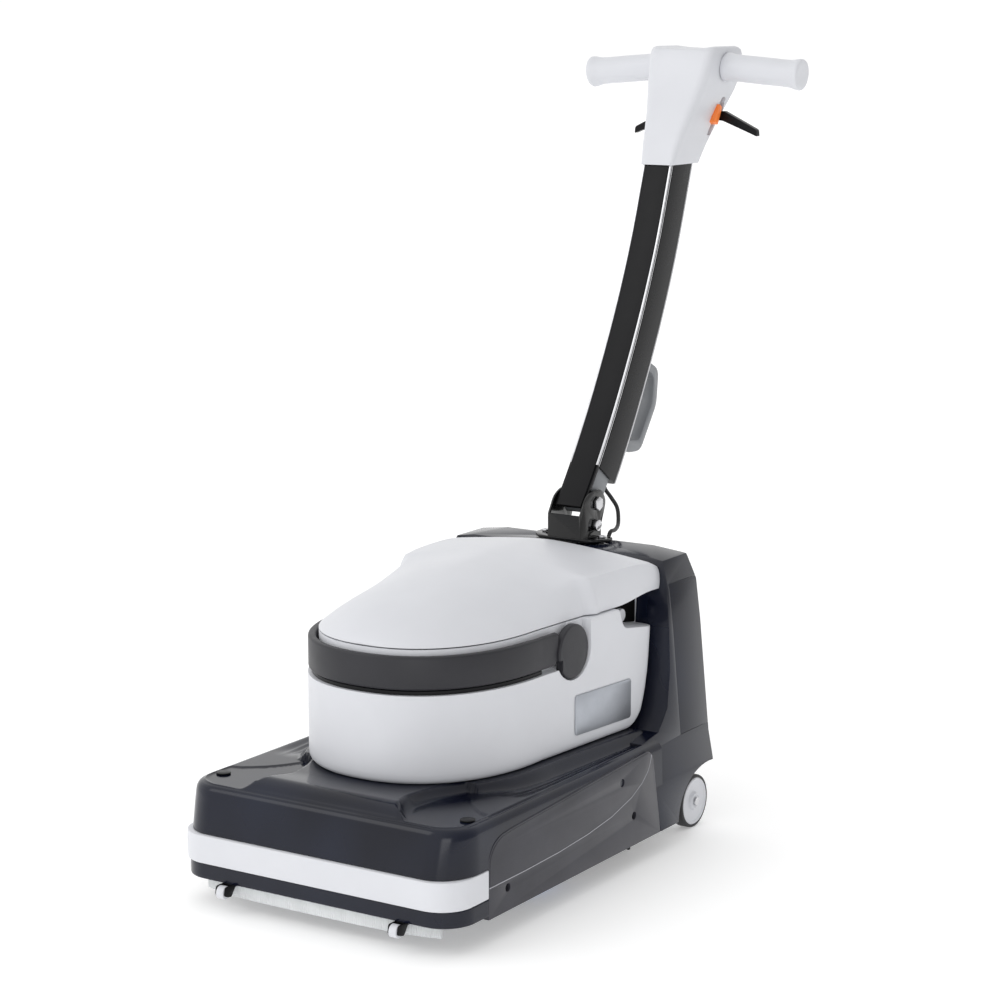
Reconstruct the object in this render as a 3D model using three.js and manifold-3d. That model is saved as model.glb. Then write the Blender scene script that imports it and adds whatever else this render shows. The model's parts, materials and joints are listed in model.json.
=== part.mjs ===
// A walk-behind floor scrubber dryer, small class, as an assembly of its separate pieces.
// Millimetres, +Z up. +X is the machine's right side as seen by someone facing its front,
// and the front is at -Y. The origin is on the floor, under the middle of the machine's
// length and width. Lengths along Y are written from the front edge of the side panels,
// and the whole machine is moved forward by ORIGIN_Y at the end.
import * as THREE from "three";
import { mergeVertices } from "three/addons/utils/BufferGeometryUtils.js";
import Module from "manifold-3d";

const wasm = await Module();
wasm.setup();

// ---------- driving dimensions ----------
const ORIGIN_Y = 436.75;
const GAP = 0.4; // clearance between neighbouring pieces
const WALL = 4; // moulded wall thickness
const HALF_WIDTH = 213.5;
const FRONT_Y = -67; // straight front of the deck and bumper
const CORNER_R = 44; // plan radius of the front corners
const SKIRT = { bottom: 33, front: 8, rear: 433, thick: 9 };
const STRIP = { bottom: 38, top: 59 };
const BUMPER = { bottom: 60, top: 97, stand: 5 };
const DECK = { bottom: 98, top: 157, humpTop: 169.8 };
const TANK = { bottom: 171, top: 341, groove: 285, frontY: 32, widestY: 230, half: 155, rearHalf: 171 };
const TANK_POWER = 2.25; // roundness of the tank's front in plan
const LID = { bottom: 342, inset: 14, tailInset: 7, step: 334 }; // it widens behind the bail
const BAIL = { bottom: 292, top: 335, thick: 10.5, room: 14.5, bossR: 36, pivotY: 294, pivotZ: 304 };
const WHEEL = { y: 569.6, r: 37.3 };
const BRUSH = { y: 215, r: 45, coreR: 19, half: 168 };
const MOTOR = { y: 335, z: 88, r: 33 };
const FOLD = { y: 574, z: 442 }; // axis that the handle folds about
const LOCK = { y: 569, z: 412 }; // spring plunger that holds the handle upright
const COLUMN = { half: 23, front: -30.5, joint: -24, rear: 30.5, wall: 2.5, foot: 0.137, top: 0.97 };
const GRIP = { y: 893, z: 1040, droop: 4.6, r: 19.5, flangeR: 22.5, inner: 54, length: 120.5 };
const LEVER = { x: 41, y: 899, z: 968, length: 60 };
const LID_HINGE = { y: 504, z: 391 };
const SQUEEGEE = { y: -60.4, lift: 19.5, half: 179, bow: 14 };
const REAR_SQUEEGEE_Y = 436;
const SUCTION = { x: 60, y: 372 };
const FLOOR_PLATE = { bottom: 132, top: 136 }; // carries the motors, the post and the tank's seat
const BRACKET_BASE = 393.6; // underside of the pivot bracket, on top of the rear housing
const EAR = { inner: 23.8, outer: 26.8 }; // half widths of the bracket's two ears
const BRACKET_SCREWS = { x: 46, y: 556, r: 3.2 };
const CABLE = { x: 45, y: 576, r: 3 }; // where the handle's cable enters the rear housing
const DOOR = { front: 506, bottom: 150, top: 356 };
const PULLEYS = { brush: 26, motor: 13, from: -181, to: -171 };
const ROLLER = { x: 132.5, y: -74, z: 29, r: 8.5 };

// ---------- solids ----------
function solidOf(geometry) {
  const g = geometry.clone();
  g.deleteAttribute("normal");
  g.deleteAttribute("uv");
  const merged = mergeVertices(g, 1e-4);
  const mesh = new wasm.Mesh({
    numProp: 3,
    vertProperties: merged.attributes.position.array,
    triVerts: new Uint32Array(merged.index.array),
  });
  return new wasm.Manifold(mesh);
}

function geometryOf(solid) {
  const mesh = solid.getMesh();
  const g = new THREE.BufferGeometry();
  g.setAttribute("position", new THREE.BufferAttribute(mesh.vertProperties.slice(), 3));
  g.setIndex(new THREE.BufferAttribute(mesh.triVerts.slice(), 1));
  g.computeVertexNormals();
  return g;
}

const union = (...solids) => solids.reduce((a, b) => a.add(b));
const without = (solid, ...cuts) => cuts.reduce((a, b) => a.subtract(b), solid);
const mirrorX = (solid) => solid.mirror([1, 0, 0]);
const bothSides = (solid) => solid.add(mirrorX(solid));

function block([x0, x1], [y0, y1], [z0, z1]) {
  const g = new THREE.BoxGeometry(x1 - x0, y1 - y0, z1 - z0);
  g.translate((x0 + x1) / 2, (y0 + y1) / 2, (z0 + z1) / 2);
  return solidOf(g);
}

// A round bar along an axis; centre holds its place on the other two axes, in X, Y, Z order.
function rod(axis, [from, to], [a, b], r, sides = 24, rEnd = r) {
  const g = new THREE.CylinderGeometry(rEnd, r, to - from, sides);
  const middle = (from + to) / 2;
  if (axis === "x") {
    g.rotateZ(-Math.PI / 2);
    g.translate(middle, a, b);
  } else if (axis === "y") {
    g.translate(a, middle, b);
  } else {
    g.rotateX(Math.PI / 2);
    g.translate(a, b, middle);
  }
  return solidOf(g);
}

// A closed outline from corners [u, v, radius]; a corner without a radius is sharp, and a
// radius too large for the sides beside it is drawn in.
function outline(corners) {
  const shape = new THREE.Shape();
  const n = corners.length;
  corners.forEach(([u, v, radius = 0], i) => {
    const here = new THREE.Vector2(u, v);
    const before = new THREE.Vector2(...corners[(i + n - 1) % n]).sub(here);
    const after = new THREE.Vector2(...corners[(i + 1) % n]).sub(here);
    const r = Math.min(radius, 0.45 * before.length(), 0.45 * after.length());
    const start = here.clone().add(before.setLength(r));
    const end = here.clone().add(after.setLength(r));
    if (i === 0) shape.moveTo(start.x, start.y);
    else shape.lineTo(start.x, start.y);
    if (r > 0) shape.quadraticCurveTo(u, v, end.x, end.y);
  });
  shape.closePath();
  return shape;
}

// A plate of an outline, thick along an axis. For "x" the outline is in (Y, Z), for "y" in
// (X, Z) and for "z" in (X, Y).
function plate(axis, corners, [from, to], curveSegments = 4) {
  const shape = corners instanceof THREE.Shape ? corners : outline(corners);
  const g = new THREE.ExtrudeGeometry(shape, { depth: to - from, bevelEnabled: false, curveSegments });
  const X = new THREE.Vector3(1, 0, 0);
  const Y = new THREE.Vector3(0, 1, 0);
  const Z = new THREE.Vector3(0, 0, 1);
  if (axis === "x") {
    g.applyMatrix4(new THREE.Matrix4().makeBasis(Y, Z, X));
    g.translate(from, 0, 0);
  } else if (axis === "y") {
    g.applyMatrix4(new THREE.Matrix4().makeBasis(X, Z, Y.negate()));
    g.translate(0, to, 0);
  } else {
    g.translate(0, 0, from);
  }
  return solidOf(g);
}

// A solid skinned over closed rings of Vector3 with equal counts, capped at both ends.
// The rings run anticlockwise as seen looking back from the last ring to the first.
function loft(rings) {
  const count = rings[0].length;
  const points = rings.flat();
  const faces = [];
  for (let k = 0; k + 1 < rings.length; k++) {
    for (let i = 0; i < count; i++) {
      const j = (i + 1) % count;
      const low = k * count;
      const high = low + count;
      faces.push(low + i, low + j, high + j, low + i, high + j, high + i);
    }
  }
  const caps = [[0, 1], [(rings.length - 1) * count, -1]];
  for (const [first, side] of caps) {
    const ring = rings[first / count];
    const middle = ring.reduce((sum, p) => sum.add(p), new THREE.Vector3()).divideScalar(count);
    const m = points.push(middle) - 1;
    for (let i = 0; i < count; i++) {
      const a = first + i;
      const b = first + ((i + 1) % count);
      faces.push(m, ...(side > 0 ? [b, a] : [a, b]));
    }
  }
  const g = new THREE.BufferGeometry();
  g.setAttribute("position", new THREE.Float32BufferAttribute(points.flatMap((p) => p.toArray()), 3));
  g.setIndex(faces);
  const solid = solidOf(g);
  return solid.volume() < 0 ? solidOf(flipped(g)) : solid;
}

function flipped(g) {
  const index = Array.from(g.index.array);
  for (let i = 0; i < index.length; i += 3) [index[i], index[i + 1]] = [index[i + 1], index[i]];
  const copy = g.clone();
  copy.setIndex(index);
  return copy;
}

// Turns a solid about the X axis through (y, z), by the right-hand rule.
function turnedX(solid, degrees, y, z) {
  return solid.translate([0, -y, -z]).rotate([degrees, 0, 0]).translate([0, y, z]);
}

// ---------- the machine as a scene graph ----------
const machine = new THREE.Group();
machine.position.y = -ORIGIN_Y;

const LOOKS = {
  grey: [0xd6d7dc, 0.45, 0],
  glossDark: [0x2a2f38, 0.2, 0],
  dark: [0x3a3b40, 0.4, 0],
  charcoal: [0x3c3c40, 0.6, 0],
  black: [0x101113, 0.5, 0],
  blackMetal: [0x0c0c0e, 0.35, 0.7],
  steel: [0xa9abae, 0.35, 1],
  rubber: [0x18181a, 0.85, 0],
  blade: [0xc9d0d2, 0.3, 0],
  orange: [0xff7a2c, 0.45, 0],
  midGrey: [0x9a9ca1, 0.5, 0],
  bristle: [0x2f5f9f, 0.8, 0],
  battery: [0x26282b, 0.6, 0],
};

function piece(name, solid, look) {
  const [color, roughness, metalness] = LOOKS[look];
  const material = new THREE.MeshStandardMaterial({ color, roughness, metalness });
  const mesh = new THREE.Mesh(geometryOf(solid), material);
  mesh.name = name;
  machine.add(mesh);
}

// ---------- plan outlines ----------
// Half of the recovery tank's width at a distance back, drawn in by an inset.
function tankHalf(y, inset = 0) {
  const front = TANK.frontY + inset;
  if (y <= front) return 0;
  if (y < TANK.widestY) {
    const u = (TANK.widestY - y) / (TANK.widestY - front);
    return (TANK.half - inset) * (1 - u ** TANK_POWER) ** (1 / TANK_POWER);
  }
  const spread = (TANK.rearHalf - TANK.half) / (442 - TANK.widestY);
  return TANK.half - inset + spread * (y - TANK.widestY);
}

// The tank's outline at one height: superellipse nose, straight sides, rounded rear corners.
function tankRing(z, inset, rearY, rearR = 26, steps = 12) {
  const half = [];
  for (let i = 0; i <= steps; i++) {
    const t = (i / steps) * (Math.PI / 2);
    const x = (TANK.half - inset) * Math.sin(t) ** (2 / TANK_POWER);
    const reach = TANK.widestY - TANK.frontY - inset;
    half.push([x, TANK.widestY - reach * Math.cos(t) ** (2 / TANK_POWER)]);
  }
  half.push([tankHalf(330, inset), 330]);
  for (let i = 0; i <= 3; i++) {
    const t = (i / 3) * (Math.PI / 2);
    const x = tankHalf(rearY - rearR, inset) - rearR + rearR * Math.cos(t);
    half.push([x, rearY - rearR + rearR * Math.sin(t)]);
  }
  return mirroredRing(half, z);
}

// A closed ring from the points of its right half, which starts on the centre line.
function mirroredRing(half, z) {
  const left = half.slice(half[0][0] === 0 ? 1 : 0).map(([x, y]) => [-x, y]).reverse();
  return [...half, ...left].map(([x, y]) => new THREE.Vector3(x, y, z));
}

// The chassis' outline at one height, with round front corners.
function deckRing(z, front, halfWidth, rear, r = CORNER_R) {
  const half = [[0, front]];
  for (let i = 0; i <= 6; i++) {
    const t = (i / 6) * (Math.PI / 2);
    half.push([halfWidth - r + r * Math.sin(t), front + r - r * Math.cos(t)]);
  }
  half.push([halfWidth, rear]);
  return mirroredRing(half, z);
}

// Rear wall of the tank: it leans back as it rises.
const TANK_REAR = [[171, 446], [178, 458], [192, 471], [241, 485], [300, 491], [341, 494]];

function tankRearAt(z) {
  const i = Math.max(1, TANK_REAR.findIndex(([h]) => h >= z));
  const [z0, y0] = TANK_REAR[i - 1];
  const [z1, y1] = TANK_REAR[i];
  return y0 + ((y1 - y0) * (z - z0)) / (z1 - z0);
}

// ---------- chassis ----------
function frontDeck() {
  const body = (inset) => loft([
    deckRing(DECK.bottom - (inset ? 1 : 0), FRONT_Y + 1 + inset, HALF_WIDTH - inset, 446 + inset),
    deckRing(146, FRONT_Y + 11 + inset, HALF_WIDTH - 1.5 - inset, 446 + inset),
    deckRing(153 - inset, FRONT_Y + 13 + inset, HALF_WIDTH - 4 - inset, 446 + inset),
    deckRing(DECK.top - inset, FRONT_Y + 19 + inset, HALF_WIDTH - 11 - inset, 446 + inset),
  ]);
  const hump = (inset) => loft([0, 0.5, 0.9, 1].map((t, k) => humpRing(t, inset, k === 3 ? 5 : 0)));
  const skirtRoom = plate("x", skirtOutline(GAP), [HALF_WIDTH - SKIRT.thick - GAP, 230]);
  const shell = without(union(body(0), hump(0)), body(WALL), hump(WALL), bothSides(skirtRoom));
  const suctionPort = rod("z", [140, 180], [SUCTION.x, SUCTION.y], 16);
  const below = block([-300, 300], [-100, 500], [0, DECK.bottom]);
  return without(shell, below, suctionPort, plate("x", housingProfile(1.2), [-300, 300]));
}

// The raised middle of the deck that carries the tank; t runs from its foot to its top.
function humpRing(t, inset, round) {
  const z = DECK.bottom + t * (DECK.humpTop - DECK.bottom) - (t === 1 ? inset : 0);
  const front = FRONT_Y + 2 + 33 * t + inset + round;
  const half = [[0, front], [108 - 10 * t - inset, front + 3]];
  for (const y of [60, 90, 130, 180, 240, 330, 446]) {
    half.push([Math.max(108 - 10 * t, tankHalf(y) + 16 - 11 * t) - inset, y + (y === 446 ? inset : 0)]);
  }
  return mirroredRing(half, z);
}

// Side panel in side view, grown by a clearance.
function skirtOutline(grow = 0) {
  return [
    [SKIRT.front - grow, SKIRT.bottom - grow],
    [SKIRT.front - grow, 111 + grow],
    [17, 125 + grow],
    [34, 134 + grow, 10],
    [60, 136.5 + grow],
    [398 + grow, 154 + grow, 8],
    [410 + grow, 145],
    [SKIRT.rear + grow, SKIRT.bottom - grow],
  ];
}

function sideSkirt() {
  const panel = plate("x", skirtOutline(), [HALF_WIDTH - SKIRT.thick, HALF_WIDTH]);
  const holes = [[51, 63], [328, 127], [361, 74]];
  return without(panel, ...holes.map(([y, z]) => rod("x", [190, 230], [y, z], 5.5, 16)));
}

// A band that follows the chassis' round front and ends at the side panels.
function frontBand(bottom, top, stand, wall, rear) {
  const outer = (z) => deckRing(z, FRONT_Y - stand, HALF_WIDTH, rear, CORNER_R);
  const inner = (z) => deckRing(z, FRONT_Y - stand + wall, HALF_WIDTH - wall, rear + 20, CORNER_R - wall);
  return without(loft([outer(bottom), outer(top)]), loft([inner(bottom - 1), inner(top + 1)]));
}

function lowerStrip() {
  const band = frontBand(STRIP.bottom, STRIP.top, 0, 5, SKIRT.front - GAP);
  const bumperHook = block([-150, 150], [FRONT_Y + 5, FRONT_Y + 12], [STRIP.top - 4, STRIP.top]);
  return union(band, bumperHook);
}

function housingProfile(grow = 0) {
  return [
    [SKIRT.rear + 1.5 - grow, SKIRT.bottom],
    [411.5 - grow, 145],
    [400 - grow, 155.5],
    [400 - grow, 160 + grow],
    [446 - grow, 166 + grow],
    [462 - grow, 180],
    [475 - grow, 193],
    [489 - grow, 241],
    [495 - grow, 300],
    [498 - grow, 341],
    [514 - grow, 390],
    [572 + grow, 393 + grow],
    [580 + grow, 386, 4],
    [582 + grow, 352],
    [584 + grow, 139],
    [588 + grow, 92],
    [588 + grow, SKIRT.bottom],
  ];
}

// Half width of the housing at each height.
const HOUSING_HALF = [[33, 213.5], [100, 209], [139, 203.5], [296, 189]];
HOUSING_HALF.push([352, 182], [386, 167], [393, 120]);

function housingBody(inset) {
  const grow = -inset;
  const section = HOUSING_HALF.map(([z, x]) => [x - inset, z - (z > 352 ? inset : 0)]);
  const left = section.map(([x, z]) => [-x, z]).reverse();
  const across = plate("y", [...section, ...left], [350, 640]);
  return plate("x", housingProfile(grow), [-250, 250]).intersect(across);
}

// The arch over a wheel, cut through the housing's side.
function wheelArch() {
  const arch = new THREE.Shape();
  arch.absellipse(575, 26, 92, 71, 0, Math.PI, false, 0);
  const open = plate("x", arch, [150, 260], 14);
  return union(open, block([150, 260], [483, 700], [20, 27]));
}

// The rear of the housing that comes off with the battery door, without the front wall's top.
function doorRoom(gap) {
  const rear = block([-250, 250], [DOOR.front - gap, 640], [DOOR.bottom - gap, DOOR.top + gap]);
  const frontWall = block([gap - 170, 170 - gap], [490, 515 - gap], [300, 370]);
  return rear.subtract(frontWall);
}

const bracketScrewHoles = () => [-BRACKET_SCREWS.x, BRACKET_SCREWS.x].map((x) => {
  return rod("z", [380, 400], [x, BRACKET_SCREWS.y], BRACKET_SCREWS.r, 12);
});

function rearHousing() {
  const shell = without(housingBody(0), housingBody(WALL));
  const openBottom = block([-250, 250], [350, 700], [0, 60]);
  const sideFoot = bothSides(block([150, 250], [350, 520], [0, 60]));
  const openFront = block([-196, 196], [380, 470], [0, 152]);
  const underneath = openBottom.subtract(sideFoot);
  const trimmed = without(shell, underneath, openFront, bothSides(wheelArch()), doorRoom(GAP));
  const cableHole = rod("z", [380, 400], [CABLE.x, CABLE.y], CABLE.r + 1, 12);
  return without(trimmed, ...bracketScrewHoles(), cableHole);
}

function batteryDoor() {
  return without(housingBody(0), housingBody(WALL)).intersect(doorRoom(0));
}

function chassisFrame() {
  const under = FLOOR_PLATE.bottom + 1;
  const floor = block([-186, 186], [-20, 556], [FLOOR_PLATE.bottom, FLOOR_PLATE.top]);
  const sideShape = [[-20, 60], [-20, under], [500, under], [500, 70], [290, 60], [290, 25], [150, 25]];
  const sideWall = plate("x", sideShape, [184, 188]);
  const axleShape = [[540, under], [556, under], [584, 60, 8], [584, 27, 8], [556, 27, 8], [536, 60]];
  const axleWall = plate("x", axleShape, [156, 161]);
  const tunnel = [159, 278].map((y) => block([-169, 185], [y, y + 3], [22, under]));
  const crossBar = block([-185, 185], [476, 480], [70, under]);
  const post = block([-24, 24], [546, 556], [135, 388]);
  const postFoot = block([-90, 90], [546, 556], [FLOOR_PLATE.bottom, 146]);
  const walls = union(bothSides(sideWall), bothSides(axleWall), ...tunnel);
  const solid = union(floor, walls, crossBar, post, postFoot);
  const brushHoles = rod("x", [-190, 190], [BRUSH.y, BRUSH.r], 12.4);
  const axleHoles = rod("x", [-190, 190], [WHEEL.y, WHEEL.r], 6.3);
  return without(solid, brushHoles, axleHoles);
}

function brushBearing() {
  const race = rod("x", [184.2, 187.8], [BRUSH.y, BRUSH.r], 12, 20);
  return race.subtract(rod("x", [180, 190], [BRUSH.y, BRUSH.r], 8.3, 20));
}

function solutionTank() {
  const outside = [[-42, 64, 6], [-30, 128, 6], [152, 128, 6], [152, 44, 6], [-34, 44, 6]];
  const body = plate("x", outside, [-178, 178]);
  const inside = [[-37, 66], [-26, 124], [148, 124], [148, 48], [-30, 48]];
  const hollow = plate("x", inside, [-174, 174]);
  const neck = rod("z", [120, 131], [120, 60], 14);
  return without(union(body.subtract(hollow), neck), rod("z", [110, 140], [120, 60], 11));
}

function brushMotor() {
  const can = rod("x", [-162, -62], [MOTOR.y, MOTOR.z], MOTOR.r);
  const nose = rod("x", [-168, -160], [MOTOR.y, MOTOR.z], 14);
  const mount = block([-150, -90], [MOTOR.y - 20, MOTOR.y + 20], [MOTOR.z + 20, 131.6]);
  const shaft = rod("x", [-181, -166], [MOTOR.y, MOTOR.z], 4, 16);
  return union(can, nose, mount, shaft);
}

function vacuumMotor() {
  const fan = rod("z", [104, 131.6], [95, 345], 52, 28);
  const can = rod("z", [58, 105], [95, 345], 36, 24);
  const outlet = block([70, 110], [385, 420], [106, 128]);
  return union(fan, can, outlet);
}

function solutionPump() {
  const body = block([-22, 22], [300, 352], [92, 131.6]);
  const head = rod("y", [286, 302], [0, 112], 15);
  return union(body, head);
}

function suctionDuct() {
  const pipe = rod("z", [137, 168], [SUCTION.x, SUCTION.y], 14, 20);
  const foot = block([44, 76], [356, 388], [136.4, 142]);
  return union(pipe, foot);
}

function batteryPack() {
  const body = plate("z", [[-80, 506, 8], [80, 506, 8], [80, 568, 8], [-80, 568, 8]], [158, 330]);
  const postRoom = block([-25, 25], [500, 557], [150, 400]);
  const uprights = [-40, 30].map((x) => block([x, x + 10], [530, 545], [329, 345]));
  const bar = block([-40, 40], [530, 545], [341, 350]);
  return without(union(body, ...uprights, bar), postRoom);
}

// ---------- brush and drive ----------
function brushCore() {
  const tube = rod("x", [-BRUSH.half, BRUSH.half], [BRUSH.y, BRUSH.r], BRUSH.coreR);
  const axle = rod("x", [-188, 188], [BRUSH.y, BRUSH.r], 8, 20);
  return union(tube, axle);
}

// Bristle rows stand round the core in a slow spiral, drawn as one ribbed sleeve.
function brushBristles() {
  const rings = [];
  const steps = 20;
  for (let k = 0; k <= 6; k++) {
    const ring = [];
    for (let i = 0; i < steps; i++) {
      const a = ((i + k) / steps) * Math.PI * 2;
      const r = i % 2 ? BRUSH.r - 4 : BRUSH.r;
      const x = -165 + (330 * k) / 6;
      ring.push(new THREE.Vector3(x, BRUSH.y + r * Math.cos(a), BRUSH.r + r * Math.sin(a)));
    }
    rings.push(ring);
  }
  return without(loft(rings), rod("x", [-180, 180], [BRUSH.y, BRUSH.r], BRUSH.coreR + GAP));
}

function pulley(y, z, r, bore, [from, to]) {
  const rim = rod("x", [from, to], [y, z], r, 28);
  return without(rim, rod("x", [from - 1, to + 1], [y, z], bore, 20));
}

// The belt runs round both pulleys; r holds the brush's and the motor's radius.
function driveBelt([brushR, motorR], [from, to], thick) {
  const run = (extra) => {
    const dy = MOTOR.y - BRUSH.y;
    const dz = MOTOR.z - BRUSH.r;
    const tilt = Math.atan2(dz, dy);
    const lean = Math.acos((brushR - motorR) / Math.hypot(dy, dz));
    const shape = new THREE.Shape();
    shape.absarc(BRUSH.y, BRUSH.r, brushR + extra, tilt + lean, tilt - lean, false);
    shape.absarc(MOTOR.y, MOTOR.z, motorR + extra, tilt - lean, tilt + lean, false);
    return shape;
  };
  const inside = plate("x", run(0.3), [from - 1, to + 1], 10);
  return plate("x", run(thick), [from, to], 10).subtract(inside);
}

// ---------- squeegees ----------
// A strip that bows forward in the middle, so its ends trail.
function bowedStrip(y, halfLength, bow, thick, [z0, z1], steps = 10) {
  const front = [];
  const back = [];
  for (let i = -steps; i <= steps; i++) {
    const x = (i / steps) * halfLength;
    const sweep = y + bow * (i / steps) ** 4;
    front.push([x, sweep]);
    back.push([x, sweep + thick]);
  }
  return plate("z", [...front, ...back.reverse()], [z0, z1]);
}

function squeegeeCarrier() {
  const bar = bowedStrip(SQUEEGEE.y + 5.4, 168, 12, 6, [33.5, 37.5]);
  return union(bar, rollerFork(-ROLLER.x), rollerFork(ROLLER.x));
}

function rollerFork(x) {
  const top = block([x - 8, x + 8], [-64.5, -40], [33.5, 37.5]);
  const side = [[-81, 26, 3], [-79, 37.5, 3], [-60, 37.5], [-60, 33.5], [-68, 22, 3]];
  const cheeks = [x - 8, x + 6].map((from) => plate("x", side, [from, from + 2]));
  const pin = rod("x", [x - 8, x + 8], [ROLLER.y, ROLLER.z], 1.6, 12);
  return union(top, ...cheeks, pin);
}

function squeegeeBlade() {
  const strip = bowedStrip(SQUEEGEE.y, SQUEEGEE.half, SQUEEGEE.bow, 5, [SQUEEGEE.lift, 37.8]);
  const forkRoom = bothSides(block([ROLLER.x - 8.5, ROLLER.x + 8.5], [-80, -30], [33.1, 40]));
  return strip.subtract(forkRoom);
}

function roller(x) {
  const wheel = rod("x", [x - 5.4, x + 5.4], [ROLLER.y, ROLLER.z], ROLLER.r, 20);
  return without(wheel, rod("x", [x - 6, x + 6], [ROLLER.y, ROLLER.z], 2, 12));
}

function rearSqueegeeCarrier() {
  return union(
    bowedStrip(REAR_SQUEEGEE_Y, 165, -16, 10, [30, 42]),
    bothSides(rod("z", [41, 56], [120, REAR_SQUEEGEE_Y], 5, 14)),
  );
}

const rearSqueegeeBlade = () => bowedStrip(REAR_SQUEEGEE_Y + 2.5, 170, -16, 5, [2, 29.6]);

// ---------- wheels ----------
function wheelDisc(side) {
  const profile = [[6.2, 166], [13, 166], [13, 174], [27, 177], [33, 174], [33, 190], [28, 191], [22, 188]];
  profile.push([12, 188], [10, 192], [6.2, 192]);
  const g = new THREE.LatheGeometry([...profile, profile[0]].map(([r, x]) => new THREE.Vector2(r, x)), 30);
  g.rotateZ(-Math.PI / 2);
  g.translate(0, WHEEL.y, WHEEL.r);
  const disc = solidOf(g);
  const facing = disc.volume() < 0 ? solidOf(flipped(g)) : disc;
  return side > 0 ? facing : mirrorX(facing);
}

function tyre(side) {
  const ring = rod("x", [172.5, 191], [WHEEL.y, WHEEL.r], WHEEL.r, 40);
  const made = ring.subtract(rod("x", [170, 195], [WHEEL.y, WHEEL.r], 33.4, 40));
  return side > 0 ? made : mirrorX(made);
}

// ---------- recovery tank ----------
function tankOuter() {
  const rings = [
    tankRing(TANK.bottom, 6, 440, 20),
    tankRing(175, 1.5, 452),
    ...[184, 200, 241, 300, TANK.top].map((z) => tankRing(z, 0, tankRearAt(z))),
  ];
  return loft(rings);
}

// Everything outside the wall that the bail lies against, and round its bosses.
function bailRoom() {
  const inner = loft([tankRing(270, BAIL.room, 520), tankRing(360, BAIL.room, 520)]);
  const front = block([-200, 200], [0, BAIL.pivotY], [TANK.groove, 350]).subtract(inner);
  const boss = rod("x", [149.5, 200], [BAIL.pivotY, BAIL.pivotZ], BAIL.bossR + 2, 40);
  const swing = block([149.5, 200], [BAIL.pivotY - 38, BAIL.pivotY + 38], [BAIL.pivotZ, 350]);
  return union(front, bothSides(union(boss, swing)));
}

// Finger pocket under each rear corner of the lid.
const cornerPocket = () => plate("x", [[393, 350], [408, 313, 8], [520, 298, 4], [520, 350]], [138, 200]);

function recoveryTank() {
  const hollowLevels = [[176, 5], [272, 8], [284, 18], [350, 18]];
  const front = loft(hollowLevels.map(([z, inset]) => tankRing(z, inset, 380, 14)));
  const rearRoom = [[376, 177], [440, 177], [470, 200], [482, 260], [486, 350], [376, 350]];
  const rear = plate("x", rearRoom, [-128, 128]);
  const pins = rod("x", [-200, 200], [BAIL.pivotY, BAIL.pivotZ], 5.4, 16);
  const body = without(tankOuter(), bailRoom(), bothSides(cornerPocket()), front, rear, pins);
  const earShape = [[488, 320], [488, 340], [498, 393, 3], [503, 397, 3], [510, 391, 3], [494, 335]];
  const ear = plate("x", earShape, [56, 64]);
  const ears = bothSides(without(ear, rod("x", [40, 80], [LID_HINGE.y, LID_HINGE.z], 2.6, 12)));
  return union(body, ears);
}

// The lid across one station; a hollow's section starts below the lid's own foot.
function lidSection(y, inset, sideInset = LID.inset, foot = LID.bottom - (inset > 1 ? 3 : 0)) {
  const half = tankHalf(y, sideInset) - inset;
  const crown = lidCrown(y) - inset;
  const boxy = 2.3 + 2.2 * THREE.MathUtils.smoothstep(y, 200, 400);
  const steps = 14;
  const ring = [];
  for (let i = 0; i <= steps; i++) {
    const t = (i / steps) * Math.PI;
    const x = half * Math.sign(Math.cos(t)) * Math.abs(Math.cos(t)) ** (2 / boxy);
    const z = foot + (crown - foot) * Math.sin(t) ** (2 / boxy);
    ring.push(new THREE.Vector3(Math.abs(x) < 1e-6 ? 0 : x, y, z));
  }
  return ring;
}

// Height of the lid along its centre line.
function lidCrown(y) {
  const profile = [[46, 349], [52, 358], [60, 364], [90, 378], [130, 389], [200, 401], [300, 410]];
  profile.push([365, 413], [450, 409], [490, 402], [504, 399], [512, 392], [530, 380]);
  const i = profile.findIndex(([at]) => at >= y);
  const [y0, z0] = profile[i - 1];
  const [y1, z1] = profile[i];
  return z0 + ((z1 - z0) * (y - y0)) / (y1 - y0);
}

function lidShell() {
  const noseStations = [48.5, 51, 56, 64, 80, 105, 145, 200, 265, LID.step];
  const nose = (inset) => loft(noseStations.map((y) => lidSection(y + (y < 60 ? inset : 0), inset)));
  const tail = (inset) => loft([
    lidSection(LID.step + 0.5 + inset, inset, LID.tailInset),
    ...[365, 400, 450, 490, 504, 512].map((y) => lidSection(y, inset, LID.tailInset)),
  ]);
  const bridge = loft([325, 340].map((y) => lidSection(y, 1)));
  const bridgeHollow = loft([320, 345].map((y) => lidSection(y, WALL + 1)));
  const rearFace = [[494, 330], [496, 343], [510.5, 387], [512, 396], [512, 430]];
  const behind = plate("x", [...rearFace, [600, 430], [600, 330]], [-250, 250]);
  const openRear = block([-120, 120], [480, 530], [330, 391]);
  const knuckles = bothSides(rod("x", [65, 74], [LID_HINGE.y, LID_HINGE.z], 5.5, 16));
  const earRoom = bothSides(block([54, 66], [480, 530], [330, 396.6]));
  const pinHole = rod("x", [-90, 90], [LID_HINGE.y, LID_HINGE.z], 2.9, 12);
  const outer = union(nose(0), tail(0), bridge);
  const shell = without(outer, nose(WALL), tail(WALL), bridgeHollow, behind, openRear);
  return without(union(shell, knuckles), earRoom, pinHole);
}

const lidHingePin = () => rod("x", [-76, 76], [LID_HINGE.y, LID_HINGE.z], 2.3, 12);

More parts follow.
